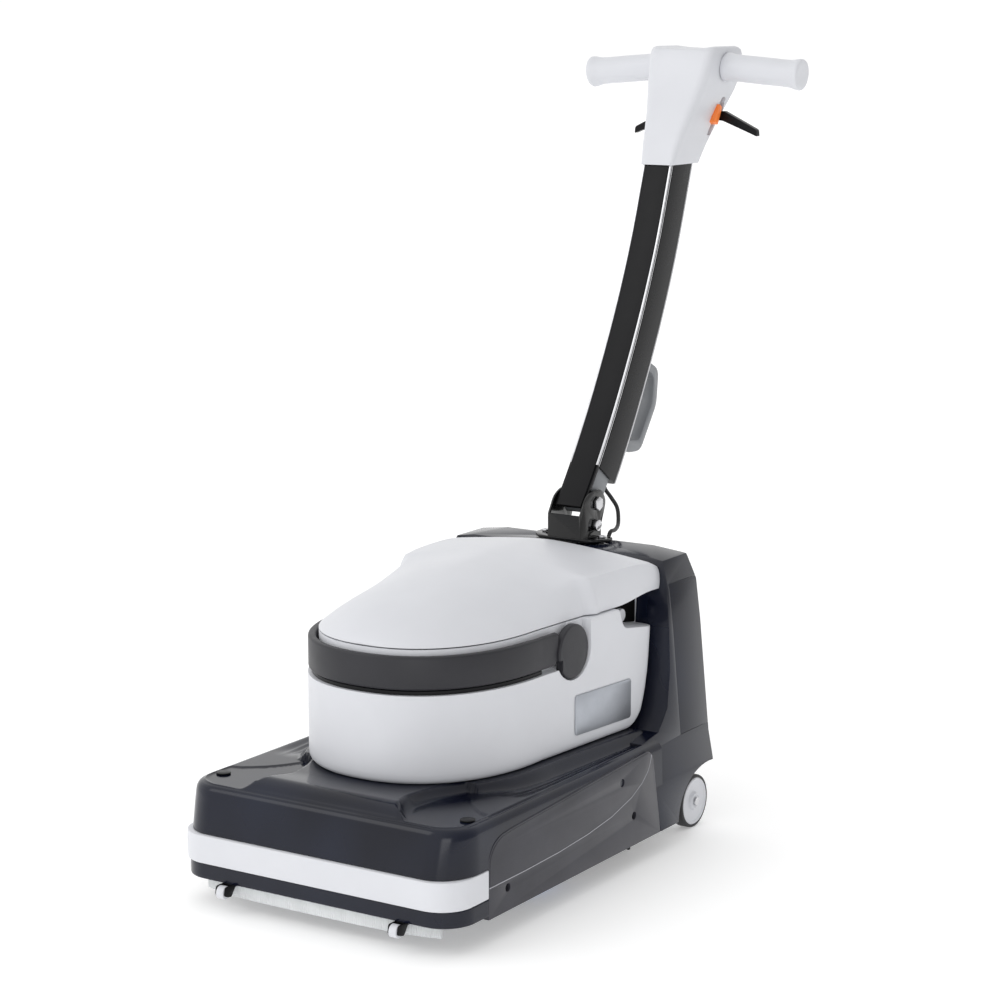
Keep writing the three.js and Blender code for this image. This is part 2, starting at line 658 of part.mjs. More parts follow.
// U-shaped carrying handle that lies round the tank's front, on two side bosses.
function carryBail() {
  const outer = loft([tankRing(BAIL.bottom, 0.5, 480), tankRing(BAIL.top, 0.5, 480)]);
  const inner = loft([tankRing(BAIL.bottom - 9, BAIL.thick, 480), tankRing(BAIL.top + 9, BAIL.thick, 480)]);
  const band = outer.subtract(inner).intersect(block([-250, 250], [0, BAIL.pivotY], [200, 400]));
  const innerSide = [[143, 186], [148.8, 214], [150, 254], [150, 300], [120, 300], [120, 186]];
  const swingRoom = bothSides(plate("z", innerSide, [200, 400]));
  const boss = rod("x", [150, 160.5], [BAIL.pivotY, BAIL.pivotZ], BAIL.bossR, 36);
  const holes = rod("x", [-200, 200], [BAIL.pivotY, BAIL.pivotZ], 5.3, 16);
  const notch = bothSides(block([140, 170], [255, 266], [260, BAIL.bottom + 6]));
  return without(union(band.subtract(swingRoom), bothSides(boss)), notch, holes);
}

const bailPin = () => rod("x", [138, 159.5], [BAIL.pivotY, BAIL.pivotZ], 4.9, 16);

function floatCage() {
  const cage = rod("z", [300, 336], [0, 425], 22, 24);
  const stem = rod("z", [177.4, 301], [0, 425], 7, 16);
  return union(cage, stem);
}

// ---------- handle ----------
// Centre line of the column in side view, from its foot to the head.
const COLUMN_PATH = [[556, 411], [589, 454], [624.6, 504.4], [670, 577]];
COLUMN_PATH.push([724.6, 676.7], [771, 778.4], [808, 881.7], [830.4, 952]);
const columnPath = new THREE.CatmullRomCurve3(COLUMN_PATH.map(([y, z]) => new THREE.Vector3(0, y, z)));

// A rounded rectangle across the column's path at a share of its length; depths are
// measured square to the path, towards the rear.
function columnRing(share, halfX, [front, rear], r) {
  const at = columnPath.getPointAt(share);
  const along = columnPath.getTangentAt(share);
  const back = new THREE.Vector3(0, along.z, -along.y);
  const middle = (front + rear) / 2;
  const halfDepth = (rear - front) / 2;
  const ring = [];
  const corners = [[1, 1], [-1, 1], [-1, -1], [1, -1]];
  corners.forEach(([sx, sd], quarter) => {
    for (let i = 0; i <= 2; i++) {
      const a = (quarter + i / 2) * (Math.PI / 2);
      const x = sx * (halfX - r) + r * Math.cos(a);
      const depth = middle + sd * (halfDepth - r) + r * Math.sin(a);
      ring.push(new THREE.Vector3(x, 0, 0).add(at).addScaledVector(back, depth));
    }
  });
  return ring;
}

// Stations along the extrusion, shared by its neighbours so that their facets lie parallel.
const STATIONS = 12;
const columnShares = Array.from({ length: STATIONS + 1 }, (_, i) => {
  return COLUMN.foot + ((COLUMN.top - COLUMN.foot) * i) / STATIONS;
});

function columnRun(halfX, depths, r, shares) {
  return loft(shares.map((share) => columnRing(share, halfX, depths, r)));
}

function columnExtrusion() {
  const wall = COLUMN.wall;
  const outer = columnRun(COLUMN.half, [COLUMN.joint + GAP, COLUMN.rear], 6, columnShares);
  const hollow = [COLUMN.joint + GAP + wall, COLUMN.rear - wall];
  const through = [COLUMN.foot - 0.02, ...columnShares.slice(1, -1), COLUMN.top + 0.02];
  return outer.subtract(columnRun(COLUMN.half - wall, hollow, 4, through));
}

// The front face of the column, which reaches down between the bracket's ears.
const coverShares = [0.025, 0.06, 0.1, ...columnShares];
const columnCover = () => columnRun(COLUMN.half, [COLUMN.front, COLUMN.joint], 3, coverShares);

function columnFoot() {
  const inside = COLUMN.wall + 1.2;
  const front = COLUMN.joint + GAP + inside;
  const plugShares = [COLUMN.foot + 0.006, columnShares[1], 0.22];
  const plug = columnRun(COLUMN.half - inside, [front, COLUMN.rear - inside], 3, plugShares);
  const collar = columnRun(COLUMN.half - inside, [front, 18], 3, [0.075, 0.1, COLUMN.foot, 0.16]);
  const tongueShape = [[556, 442, 7], [562, 428, 7], [586, 428, 7], [594, 442, 7], [612, 462], [578, 474]];
  const tongue = plate("x", tongueShape, [-17, 17]);
  const roomShares = [0, ...coverShares.slice(0, 6)];
  const coverRoom = columnRun(40, [COLUMN.front - 20, COLUMN.joint + GAP], 1, roomShares);
  const trimmed = tongue.subtract(coverRoom);
  return without(union(plug, collar, trimmed), rod("x", [-40, 40], [FOLD.y, FOLD.z], 6.3, 20));
}

// U-shaped bracket: a front wall, two ears and a screwed base.
function pivotBracket() {
  const thick = 4.4;
  const top = BRACKET_BASE + thick;
  const earShape = [[530, top - 2], [530, 430], [544, 453, 8], [562, 462, 8], [588, 460, 8]];
  earShape.push([600, 442, 8], [586, 408], [586, top - 2]);
  const ears = bothSides(plate("x", earShape, [EAR.inner, EAR.outer]));
  const frontWall = block([-EAR.outer, EAR.outer], [530, 533], [394, 430]);
  const baseShape = [[-58, 546, 8], [-40, 528, 8], [40, 528, 8], [58, 546, 8], [58, 567, 4], [-58, 567, 4]];
  const base = plate("z", baseShape, [BRACKET_BASE, top]);
  const tail = block([-EAR.outer, EAR.outer], [560, 586], [BRACKET_BASE, top]);
  const bolt = rod("x", [-40, 40], [FOLD.y, FOLD.z], 6.3, 20);
  const plunger = rod("x", [0, 40], [LOCK.y, LOCK.z], 5.3, 16);
  return without(union(ears, frontWall, base, tail), bolt, plunger, ...bracketScrewHoles());
}

function pivotBolt() {
  const shank = rod("x", [-28, 28], [FOLD.y, FOLD.z], 6, 20);
  const heads = bothSides(rod("x", [EAR.outer + GAP, 32], [FOLD.y, FOLD.z], 10, 6));
  return union(shank, heads);
}

const lockPlunger = () => union(
  rod("x", [EAR.inner + 0.1, 28], [LOCK.y, LOCK.z], 5, 16),
  rod("x", [EAR.outer + GAP, 33.5], [LOCK.y, LOCK.z], 8, 16),
);

// D-shaped carrying grip on the back of the column.
function rearGrip() {
  const outer = [[700, 626], [738, 626, 6], [776, 608, 14], [770, 556, 10], [724, 494, 12]];
  outer.push([690, 496, 6], [670, 510]);
  const hole = [[700, 608], [748, 608, 8], [762, 597, 8], [757, 561, 6], [720, 511, 6]];
  hole.push([690, 514], [670, 530]);
  const column = columnRun(COLUMN.half + 3, [COLUMN.front, COLUMN.rear + GAP], 2, columnShares);
  return without(plate("x", outer, [-11, 11]), plate("x", hole, [-20, 20]), column);
}

// Head outline at one height: [z, front, rear, half width, corner radius].
const HEAD_TOP = 1070;
const HEAD = [[902, 779.5, 861, 26.5, 5], [930, 788.5, 880, 31, 8], [962, 804, 905, 36.5, 11]];
HEAD.push([992, 819, 928, 43, 12], [1020, 831, 945, 48.5, 12], [1048, 841, 950, 52, 12]);
HEAD.push([1064, 847, 944, 52.5, 12], [HEAD_TOP, 852, 934, 50, 12]);

function headRing([z, front, rear, half, r], inset) {
  const ring = [];
  const corners = [[1, 1], [-1, 1], [-1, -1], [1, -1]];
  const top = z === HEAD_TOP ? inset : 0;
  corners.forEach(([sx, sy], quarter) => {
    for (let i = 0; i <= 4; i++) {
      const a = (quarter + i / 4) * (Math.PI / 2);
      const x = sx * (half - inset - r) + r * Math.cos(a);
      const yMiddle = sy > 0 ? rear - inset - r : front + inset + r;
      ring.push(new THREE.Vector3(x, yMiddle + r * Math.sin(a), z - top));
    }
  });
  return ring;
}

function headShells() {
  const outer = loft(HEAD.map((row) => headRing(row, 0)));
  const inner = loft([[880, 772, 843, 23, 5], ...HEAD].map((row) => headRing(row, WALL)));
  const roomShares = [...columnShares.slice(-4, -1), COLUMN.top + 0.005];
  const columnRoom = columnRun(COLUMN.half + GAP, [COLUMN.front - GAP, COLUMN.rear + GAP], 3, roomShares);
  const bar = rod("x", [-60, 60], [GRIP.y, GRIP.z], GRIP.r, 24);
  const keySlot = turnedX(block([29, 60], [875, 889], [952, 994]), -28, 882, 970);
  const leverSlot = bothSides(block([27, 60], [LEVER.y - 7, LEVER.y + 7], [950, 990]));
  const shell = without(outer, inner, columnRoom, bar, keySlot, leverSlot);
  const seam = (shift) => {
    return plate("x", [[780 + shift, 880], [914 + shift, 1100], [1100, 1100], [1100, 880]], [-90, 90]);
  };
  return { front: shell.subtract(seam(0)), rear: shell.intersect(seam(0.5)) };
}

// One grip, along a line that droops outwards from the head.
function gripPiece(make) {
  const solid = make().translate([GRIP.inner, 0, 0]).rotate([0, GRIP.droop, 0]);
  return solid.translate([0, GRIP.y, GRIP.z + 3.6]);
}

function gripSleeve() {
  return gripPiece(() => without(
    union(
      rod("x", [0, GRIP.length], [0, 0], GRIP.r, 24),
      rod("x", [GRIP.length - 14, GRIP.length], [0, 0], GRIP.r, 24, GRIP.flangeR),
      rod("x", [0, 8], [0, 0], GRIP.flangeR - 1, 24, GRIP.r),
    ),
    rod("x", [-1, GRIP.length - 4], [0, 0], 12.5, 20),
  ));
}

function gripBar() {
  const half = gripPiece(() => rod("x", [-GRIP.inner, GRIP.length - 6], [0, 0], 12, 20));
  const right = half.intersect(block([0, 300], [800, 1000], [900, 1100]));
  return bothSides(right);
}

function lever() {
  const tip = LEVER.x + LEVER.length;
  const blade = [[LEVER.x - 8, 974, 3], [LEVER.x + 6, 976, 3], [tip, 950, 3], [tip + 1, 940, 2]];
  blade.push([tip - 6, 943, 2], [LEVER.x + 4, 962, 4], [LEVER.x - 8, 962, 3]);
  const body = plate("y", blade, [LEVER.y - 5, LEVER.y + 5]);
  return without(body, rod("y", [880, 920], [LEVER.x - 3, LEVER.z], 2.6, 12));
}

const leverPin = () => rod("y", [LEVER.y - 6.6, LEVER.y + 6.6], [LEVER.x - 3, LEVER.z], 2.2, 12);

function safetyKey() {
  const key = block([30.5, 46], [877, 887], [957, 986]);
  return turnedX(key, -28, 882, 970);
}

// Cable from the column's foot down into the rear housing, in an easy bow behind the bracket.
function handleCable() {
  const route = [[8, 624.5, 460], [10, 626, 452], [16, 632, 440], [26, 632, 426], [36, 618, 408]];
  route.push([43, 598, 402.5], [CABLE.x, 582, 402.5], [CABLE.x, CABLE.y, 396]);
  const path = new THREE.CatmullRomCurve3(route.map((p) => new THREE.Vector3(...p)));
  const section = new THREE.Shape();
  section.absarc(0, 0, CABLE.r, 0, Math.PI * 2, false);
  const g = new THREE.ExtrudeGeometry(section, { extrudePath: path, steps: 12, curveSegments: 8 });
  return solidOf(g);
}

// ---------- assembly ----------
piece("chassis_frame", chassisFrame(), "black");
piece("front_deck", frontDeck(), "glossDark");
piece("rear_housing", rearHousing(), "glossDark");
piece("battery_door", batteryDoor(), "glossDark");
const bumper = frontBand(BUMPER.bottom, BUMPER.top, BUMPER.stand, 9, SKIRT.front - GAP);
piece("front_bumper", bumper, "grey");
piece("front_lower_strip", lowerStrip(), "glossDark");
piece("solution_tank", solutionTank(), "midGrey");
piece("solution_pump", solutionPump(), "black");
piece("brush_motor", brushMotor(), "steel");
piece("vacuum_motor", vacuumMotor(), "black");
piece("suction_duct", suctionDuct(), "black");
piece("battery_pack", batteryPack(), "battery");
piece("control_board", block([60, 140], [500, 503], [190, 300]), "dark");
piece("wheel_axle", rod("x", [-195, 195], [WHEEL.y, WHEEL.r], 5.9, 20), "steel");
piece("pivot_bracket", pivotBracket(), "blackMetal");
piece("pivot_bolt", pivotBolt(), "steel");
piece("lock_plunger", lockPlunger(), "steel");
piece("brush_core", brushCore(), "dark");
piece("brush_bristles", brushBristles(), "bristle");
piece("brush_pulley", pulley(BRUSH.y, BRUSH.r, PULLEYS.brush, 8.3, [PULLEYS.from, PULLEYS.to]), "dark");
piece("motor_pulley", pulley(MOTOR.y, MOTOR.z, PULLEYS.motor, 4.3, [PULLEYS.from, PULLEYS.to]), "dark");
const beltRun = [PULLEYS.from + 1, PULLEYS.to - 1];
piece("drive_belt", driveBelt([PULLEYS.brush, PULLEYS.motor], beltRun, 3), "rubber");
piece("squeegee_carrier", squeegeeCarrier(), "black");
piece("squeegee_blade", squeegeeBlade(), "blade");
piece("rear_squeegee_carrier", rearSqueegeeCarrier(), "black");
piece("rear_squeegee_blade", rearSqueegeeBlade(), "rubber");
piece("recovery_tank", recoveryTank(), "grey");
piece("float_cage", floatCage(), "midGrey");
piece("tank_lid", lidShell(), "grey");
piece("lid_hinge_pin", lidHingePin(), "steel");
piece("carry_bail", carryBail(), "charcoal");
piece("column", columnExtrusion(), "blackMetal");
piece("column_cover", columnCover(), "black");
piece("column_foot", columnFoot(), "midGrey");
piece("rear_grip", rearGrip(), "midGrey");
const head = headShells();
piece("head_front_shell", head.front, "grey");
piece("head_rear_shell", head.rear, "grey");
piece("grip_bar", gripBar(), "steel");
piece("safety_key", safetyKey(), "orange");
piece("handle_cable", handleCable(), "black");
for (const [side, name] of [[-1, "left"], [1, "right"]]) {
  const onSide = (solid) => (side > 0 ? solid : mirrorX(solid));
  piece("side_skirt_" + name, onSide(sideSkirt()), "dark");
  piece("deck_plug_" + name, onSide(rod("z", [157.4, 159.4], [188, 0], 9.5, 20)), "black");
  piece("wheel_" + name, wheelDisc(side), "grey");
  piece("tyre_" + name, tyre(side), "rubber");
  piece("brush_bearing_" + name, onSide(brushBearing()), "steel");
  piece("roller_" + name, onSide(roller(ROLLER.x)), "grey");
  piece("bail_pin_" + name, onSide(bailPin()), "steel");
  piece("grip_" + name, onSide(gripSleeve()), "grey");
  piece("lever_" + name, onSide(lever()), "black");
  piece("lever_pin_" + name, onSide(leverPin()), "steel");
}

export default machine;
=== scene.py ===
import json
import math

import bmesh
import bpy
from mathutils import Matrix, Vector


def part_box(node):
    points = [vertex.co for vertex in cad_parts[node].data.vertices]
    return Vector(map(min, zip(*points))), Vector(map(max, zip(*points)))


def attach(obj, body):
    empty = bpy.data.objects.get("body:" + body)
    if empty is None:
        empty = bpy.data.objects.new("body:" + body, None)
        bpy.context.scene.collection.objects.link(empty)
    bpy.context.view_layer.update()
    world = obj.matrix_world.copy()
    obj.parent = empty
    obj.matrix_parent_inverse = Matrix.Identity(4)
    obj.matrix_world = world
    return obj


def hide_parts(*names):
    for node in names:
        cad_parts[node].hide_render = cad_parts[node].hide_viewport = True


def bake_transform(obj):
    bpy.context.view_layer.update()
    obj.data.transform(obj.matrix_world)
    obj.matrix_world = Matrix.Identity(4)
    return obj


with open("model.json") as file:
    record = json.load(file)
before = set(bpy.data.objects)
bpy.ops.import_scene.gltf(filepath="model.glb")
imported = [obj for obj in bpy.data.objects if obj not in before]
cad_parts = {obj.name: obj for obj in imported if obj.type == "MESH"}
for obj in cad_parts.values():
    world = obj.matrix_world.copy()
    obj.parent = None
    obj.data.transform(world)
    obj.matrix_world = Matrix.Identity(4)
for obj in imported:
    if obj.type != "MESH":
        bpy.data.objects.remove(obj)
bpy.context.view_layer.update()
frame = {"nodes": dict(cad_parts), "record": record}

# ---------- driving dimensions, as in the CAD ----------
SIDE_PANEL_FRONT = 8
REFERENCE_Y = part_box("side_skirt_right")[0].y * 1000 - SIDE_PANEL_FRONT
HALF_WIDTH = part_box("side_skirt_right")[1].x * 1000
FRONT_Y = -67
CORNER_R = 44
RIM_FRONT = FRONT_Y + 19  # the deck's top rim lies in from its foot
RIM_HALF = HALF_WIDTH - 11
RIM_R = CORNER_R - 6
TANK_SEAT_REAR = 446
STRIP_Z = (38, 59)
BUMPER_Z = (60, 97)
BUMPER_STAND = 5
TANK_FRONT, TANK_WIDEST, TANK_SIDE_REAR = 32, 230, 442
TANK_HALF, TANK_REAR_HALF = 155, 171
TANK_GROOVE = 285
TANK_POWER = 2.25
LID_BOTTOM = 342
BAIL_Z = (292, 335)
BAIL_THICK, BAIL_BOSS_R = 10.5, 36
BAIL_PIVOT = (294, 304)
WHEEL_Y, WHEEL_R = 569.6, 37.3
GRIP_Y, GRIP_ROOT_Z, GRIP_DROOP, GRIP_INNER = 893, 1043.6, 4.6, 54
LEVER_Y = 899

BODY_OF = {n: body for body, nodes in frame["record"]["behaviour"]["bodies"].items() for n in nodes}
SLOT_OF = {part["node"]: part["material_slot"] for part in frame["record"]["subparts"]}


def at(x, y, z):
    """A place in millimetres, as a vector in metres in the frame."""
    return Vector((x, y + REFERENCE_Y, z)) / 1000


def smooth(low, high, value):
    t = min(1, max(0, (value - low) / (high - low)))
    return t * t * (3 - 2 * t)


def mix(a, b, t):
    return a + (b - a) * t


def curve_at(points, value):
    """A smooth line through points (in, out), read at a value; flat beyond both ends."""
    if value <= points[0][0]:
        return points[0][1]
    for i, ((x0, y0), (x1, y1)) in enumerate(zip(points, points[1:])):
        if value <= x1:
            before = points[i - 1] if i else points[0]
            after = points[i + 2] if i + 2 < len(points) else points[i + 1]
            slope0 = (y1 - before[1]) / (x1 - before[0])
            slope1 = (after[1] - y0) / (after[0] - x0)
            h = x1 - x0
            t = (value - x0) / h
            return ((2 * t**3 - 3 * t**2 + 1) * y0 + (t**3 - 2 * t**2 + t) * h * slope0
                    + (3 * t**2 - 2 * t**3) * y1 + (t**3 - t**2) * h * slope1)
    return points[-1][1]


# ---------- mesh building ----------
def mesh_object(name, points, faces):
    mesh = bpy.data.meshes.new(name)
    mesh.from_pydata([tuple(p) for p in points], [], faces)
    obj = bpy.data.objects.new(name, mesh)
    bpy.context.scene.collection.objects.link(obj)
    clean(obj)
    return obj


def clean(obj, merge=1e-6):
    """Welds points that coincide and turns every face outwards."""
    bm = bmesh.new()
    bm.from_mesh(obj.data)
    bmesh.ops.remove_doubles(bm, verts=bm.verts, dist=merge)
    bmesh.ops.recalc_face_normals(bm, faces=bm.faces)
    bm.to_mesh(obj.data)
    bm.free()


def loft(name, rings, closed=True, caps=True):
    """A skin over rings of points with equal counts, capped at both ends."""
    count = len(rings[0])
    points = [p for ring in rings for p in ring]
    faces = []
    for k in range(len(rings) - 1):
        for i in range(count if closed else count - 1):
            j = (i + 1) % count
            low, high = k * count, (k + 1) * count
            faces.append((low + i, low + j, high + j, high + i))
    if caps:
        last = (len(rings) - 1) * count
        faces.append(tuple(range(count)))
        faces.append(tuple(last + i for i in range(count)))
    return mesh_object(name, points, faces)


def rounded(corners, steps=5):
    """A polygon from corners (u, v, radius), with each corner drawn as a curve."""
    polygon = []
    count = len(corners)
    for i, corner in enumerate(corners):
        here = Vector(corner[:2])
        radius = corner[2] if len(corner) > 2 else 0
        before = Vector(corners[i - 1][:2]) - here
        after = Vector(corners[(i + 1) % count][:2]) - here
        r = min(radius, 0.45 * before.length, 0.45 * after.length)
        if r <= 0:
            polygon.append(tuple(here))
            continue
        start, end = here + before.normalized() * r, here + after.normalized() * r
        for k in range(steps + 1):
            t = k / steps
            polygon.append(tuple(start * (1 - t) ** 2 + here * 2 * t * (1 - t) + end * t * t))
    return polygon


def on_plane(axis, u, v, w):
    """Outline coordinates (u, v) at depth w along an axis, as a place in the frame."""
    return {"x": at(w, u, v), "y": at(u, w, v), "z": at(u, v, w)}[axis]


def plate(name, axis, polygon, start, end):
    return loft(name, [[on_plane(axis, u, v, w) for u, v in polygon] for w in (start, end)])


def disc(name, axis, centre, radius, start, end, sides=48):
    turns = [2 * math.pi * i / sides for i in range(sides)]
    polygon = [(centre[0] + radius * math.cos(a), centre[1] + radius * math.sin(a)) for a in turns]
    return plate(name, axis, polygon, start, end)


def lathe(name, profile, y, z, sides=64):
    """A body turned about an axis along X, from a closed profile of (x, radius)."""
    rings = []
    for i in range(sides + 1):
        a = 2 * math.pi * i / sides
        rings.append([at(x, y + r * math.cos(a), z + r * math.sin(a)) for x, r in profile])
    return loft(name, rings, caps=False)


def box(name, xs, ys, zs):
    return plate(name, "z", [(xs[0], ys[0]), (xs[1], ys[0]), (xs[1], ys[1]), (xs[0], ys[1])], *zs)


def baked(obj):
    """Applies the object's modifiers."""
    bpy.context.view_layer.update()
    graph = bpy.context.evaluated_depsgraph_get()
    mesh = bpy.data.meshes.new_from_object(obj.evaluated_get(graph))
    obj.modifiers.clear()
    obj.data = mesh
    return obj


def combine(obj, others, operation):
    for other in others:
        modifier = obj.modifiers.new("combine", "BOOLEAN")
        modifier.operation = operation
        modifier.solver = "EXACT"
        modifier.object = other
        baked(obj)
        bpy.data.objects.remove(other)
    return obj


def join(obj, others, operation="UNION"):
    return combine(obj, others, operation)


def cut(obj, others):
    return combine(obj, others, "DIFFERENCE")


def mirrored(obj, name):
    """A copy on the machine's other side."""
    copy = bpy.data.objects.new(name, obj.data.copy())
    bpy.context.scene.collection.objects.link(copy)
    for vertex in copy.data.vertices:
        vertex.co.x = -vertex.co.x
    copy.data.flip_normals()
    return copy


def softened(obj, width=1.0, segments=3, angle=30, dissolve=0.5):
    """Rounds the edges that are sharper than an angle, and shades the rest smooth."""
    bm = bmesh.new()
    bm.from_mesh(obj.data)
    bmesh.ops.remove_doubles(bm, verts=bm.verts, dist=2e-5)
    if dissolve:
        bmesh.ops.dissolve_limit(
            bm, angle_limit=math.radians(dissolve), verts=bm.verts, edges=bm.edges)
    bm.to_mesh(obj.data)
    bm.free()
    modifier = obj.modifiers.new("edges", "BEVEL")
    modifier.width = width / 1000
    modifier.segments = segments
    modifier.limit_method = "ANGLE"
    modifier.angle_limit = math.radians(angle)
    modifier.miter_outer = "MITER_ARC"
    baked(obj)
    return shaded(obj, angle)


def shaded(obj, angle=35):
    obj.data.shade_smooth()
    obj.data.set_sharp_from_angle(angle=math.radians(angle))
    return obj


def refined(node, width=0.6, segments=2, angle=32):
    """The CAD node's shape with its edges rounded."""
    copy = bpy.data.objects.new(node + "_fine", frame["nodes"][node].data.copy())
    bpy.context.scene.collection.objects.link(copy)
    return softened(copy, width, segments, angle)


# ---------- materials ----------
def new_material(name, color, roughness, metallic=0.0):
    material = bpy.data.materials.new(name)
    material.use_nodes = True
    shader = material.node_tree.nodes["Principled BSDF"]
    shader.inputs["Base Color"].default_value = (*color, 1)
    shader.inputs["Roughness"].default_value = roughness
    shader.inputs["Metallic"].default_value = metallic
    material.diffuse_color = (*color, 1)
    return material, material.node_tree, shader


def noise(tree, scale, detail=3.0, stretch=(1, 1, 1)):
    place = tree.nodes.new("ShaderNodeTexCoord")
    mapping = tree.nodes.new("ShaderNodeMapping")
    mapping.inputs["Scale"].default_value = stretch
    texture = tree.nodes.new("ShaderNodeTexNoise")
    texture.inputs["Scale"].default_value = scale
    texture.inputs["Detail"].default_value = detail
    tree.links.new(place.outputs["Object"], mapping.inputs["Vector"])
    tree.links.new(mapping.outputs["Vector"], texture.inputs["Vector"])
    return texture.outputs["Fac"]


def ramp(tree, factor, low, high, ends=(0.35, 0.65)):
    node = tree.nodes.new("ShaderNodeValToRGB")
    node.color_ramp.elements[0].position = ends[0]
    node.color_ramp.elements[1].position = ends[1]
    node.color_ramp.elements[0].color = (*low, 1)
    node.color_ramp.elements[1].color = (*high, 1)
    tree.links.new(factor, node.inputs["Fac"])
    return node.outputs["Color"]


def vary_color(tree, shader, color, spread, scale):
    low = [c * (1 - spread) for c in color]
    high = [min(1, c * (1 + spread)) for c in color]
    tree.links.new(ramp(tree, noise(tree, scale), low, high), shader.inputs["Base Color"])


def vary_roughness(tree, shader, low, high, scale):
    value = tree.nodes.new("ShaderNodeMapRange")
    value.inputs["To Min"].default_value = low
    value.inputs["To Max"].default_value = high
    tree.links.new(noise(tree, scale, 4.0), value.inputs["Value"])
    tree.links.new(value.outputs["Result"], shader.inputs["Roughness"])


def grain(tree, shader, scale, strength, distance, stretch=(1, 1, 1)):
    bump = tree.nodes.new("ShaderNodeBump")
    bump.inputs["Strength"].default_value = strength
    bump.inputs["Distance"].default_value = distance
    tree.links.new(noise(tree, scale, 2.0, stretch), bump.inputs["Height"])
    tree.links.new(bump.outputs["Normal"], shader.inputs["Normal"])


def moulded(name, color, roughness, grain_size=2200, grain_strength=0.12, spread=0.03,
            specular=0.5):
    """Injection-moulded plastic: a fine texture and a little mottling."""
    material, tree, shader = new_material(name, color, roughness)
    vary_color(tree, shader, color, spread, 14)
    vary_roughness(tree, shader, roughness * 0.85, roughness * 1.15, 60)
    grain(tree, shader, grain_size, grain_strength, 0.0002)
    shader.inputs["Specular IOR Level"].default_value = specular
    return material


def metal(name, color, roughness, brushed=(1, 1, 1), scale=600, spread=0.06):
    material, tree, shader = new_material(name, color, roughness, 1.0)
    vary_color(tree, shader, color, spread, 40)
    vary_roughness(tree, shader, roughness * 0.8, roughness * 1.2, 180)
    grain(tree, shader, scale, 0.15, 0.0001, brushed)
    return material


def translucent_rubber(name, color, roughness):
    material, tree, shader = new_material(name, color, roughness)
    vary_color(tree, shader, color, 0.05, 30)
    grain(tree, shader, 900, 0.1, 0.0002)
    shader.inputs["Subsurface Weight"].default_value = 0.25
    shader.inputs["Subsurface Radius"].default_value = (0.004, 0.004, 0.004)
    return material


def smoke_plastic():
    """Dark see-through plastic, glossy, with faint soft patches of painted shade for the dark
    inside seen through it.
    """
    color = (0.005, 0.007, 0.017)
    material, tree, shader = new_material("smoke", color, 0.16)
    # Painted shade: noise mottles the colour in soft darker and lighter patches, standing in for
    # shadowed shapes inside.
    depth = ramp(
        tree, noise(tree, 9, 1.0), (0.003, 0.004, 0.011), (0.008, 0.011, 0.025), (0.3, 0.7))
    tree.links.new(depth, shader.inputs["Base Color"])
    vary_roughness(tree, shader, 0.13, 0.2, 35)
    grain(tree, shader, 1600, 0.03, 0.0002)
    shader.inputs["Specular IOR Level"].default_value = 0.36
    return material


MATERIALS = {
    "shell_grey": moulded("shell_grey", (0.69, 0.70, 0.735), 0.36, spread=0.012, specular=0.35),
    "smoke": smoke_plastic(),
    "skirt_grey": moulded(
        "skirt_grey", (0.043, 0.043, 0.053), 0.3, 1800, 0.06, 0.12, specular=0.34),
    "charcoal": moulded("charcoal", (0.026, 0.026, 0.031), 0.45, 2600, 0.2, 0.05, specular=0.35),
    "black_plastic": moulded(
        "black_plastic", (0.005, 0.005, 0.006), 0.32, 2400, 0.15, 0.1, specular=0.18),
    "black_aluminium": moulded(
        "black_aluminium", (0.004, 0.004, 0.005), 0.28, 1800, 0.1, 0.1, specular=0.18),
    "bracket_black": moulded(
        "bracket_black", (0.003, 0.003, 0.0035), 0.16, 1400, 0.06, 0.1, specular=0.45),
    "frame_aluminium": metal("frame_aluminium", (0.20, 0.20, 0.21), 0.5, scale=300),
    "steel": metal("steel", (0.62, 0.62, 0.64), 0.25, (1, 0.1, 1)),
    "motor_steel": metal("motor_steel", (0.40, 0.40, 0.42), 0.4),
    "mid_grey": moulded("mid_grey", (0.22, 0.23, 0.245), 0.35, 2200, 0.12, 0.05),
    "rubber_black": moulded("rubber_black", (0.014, 0.014, 0.015), 0.7, 1500, 0.35, 0.15),
    "tyre_dark": moulded("tyre_dark", (0.035, 0.035, 0.038), 0.65, 1200, 0.4, 0.15),
    "blade_clear": translucent_rubber("blade_clear", (0.70, 0.72, 0.73), 0.35),
    "key_orange": moulded("key_orange", (1.0, 0.24, 0.045), 0.35, 2000, 0.1, 0.04),
    "bristle_blue": moulded("bristle_blue", (0.05, 0.14, 0.36), 0.6, 700, 0.6, 0.3),
    "battery_case": moulded("battery_case", (0.03, 0.03, 0.035), 0.5, 1600, 0.2, 0.1),
    "cable_black": moulded("cable_black", (0.014, 0.014, 0.015), 0.45, 1500, 0.2, 0.1),
}
LABEL = metal("label_plate", (0.42, 0.44, 0.48), 0.38, (1, 0.03, 1), 900, 0.03)
# Light metal for the strips on the column's edges: painted highlights where its rounded corners
# catch the light.
PAINTED_HIGHLIGHT_METAL = metal("painted_highlight_metal", (0.72, 0.72, 0.74), 0.3, (1, 1, 0.02))
# Lighter grey for the thin bead on the side panels: a painted highlight along the relief's edge.
PAINTED_HIGHLIGHT_BEAD = moulded("painted_highlight_bead", (0.42, 0.42, 0.46), 0.25, 1800, 0.05, 0.03)
# Near-black, darker than the black plastic, for sheets behind holes and in pockets: painted shade.
PAINTED_SHADE_BLACK = moulded("painted_shade_black", (0.0015, 0.0015, 0.0018), 0.7, 1800, 0.05, 0.1, specular=0.1)


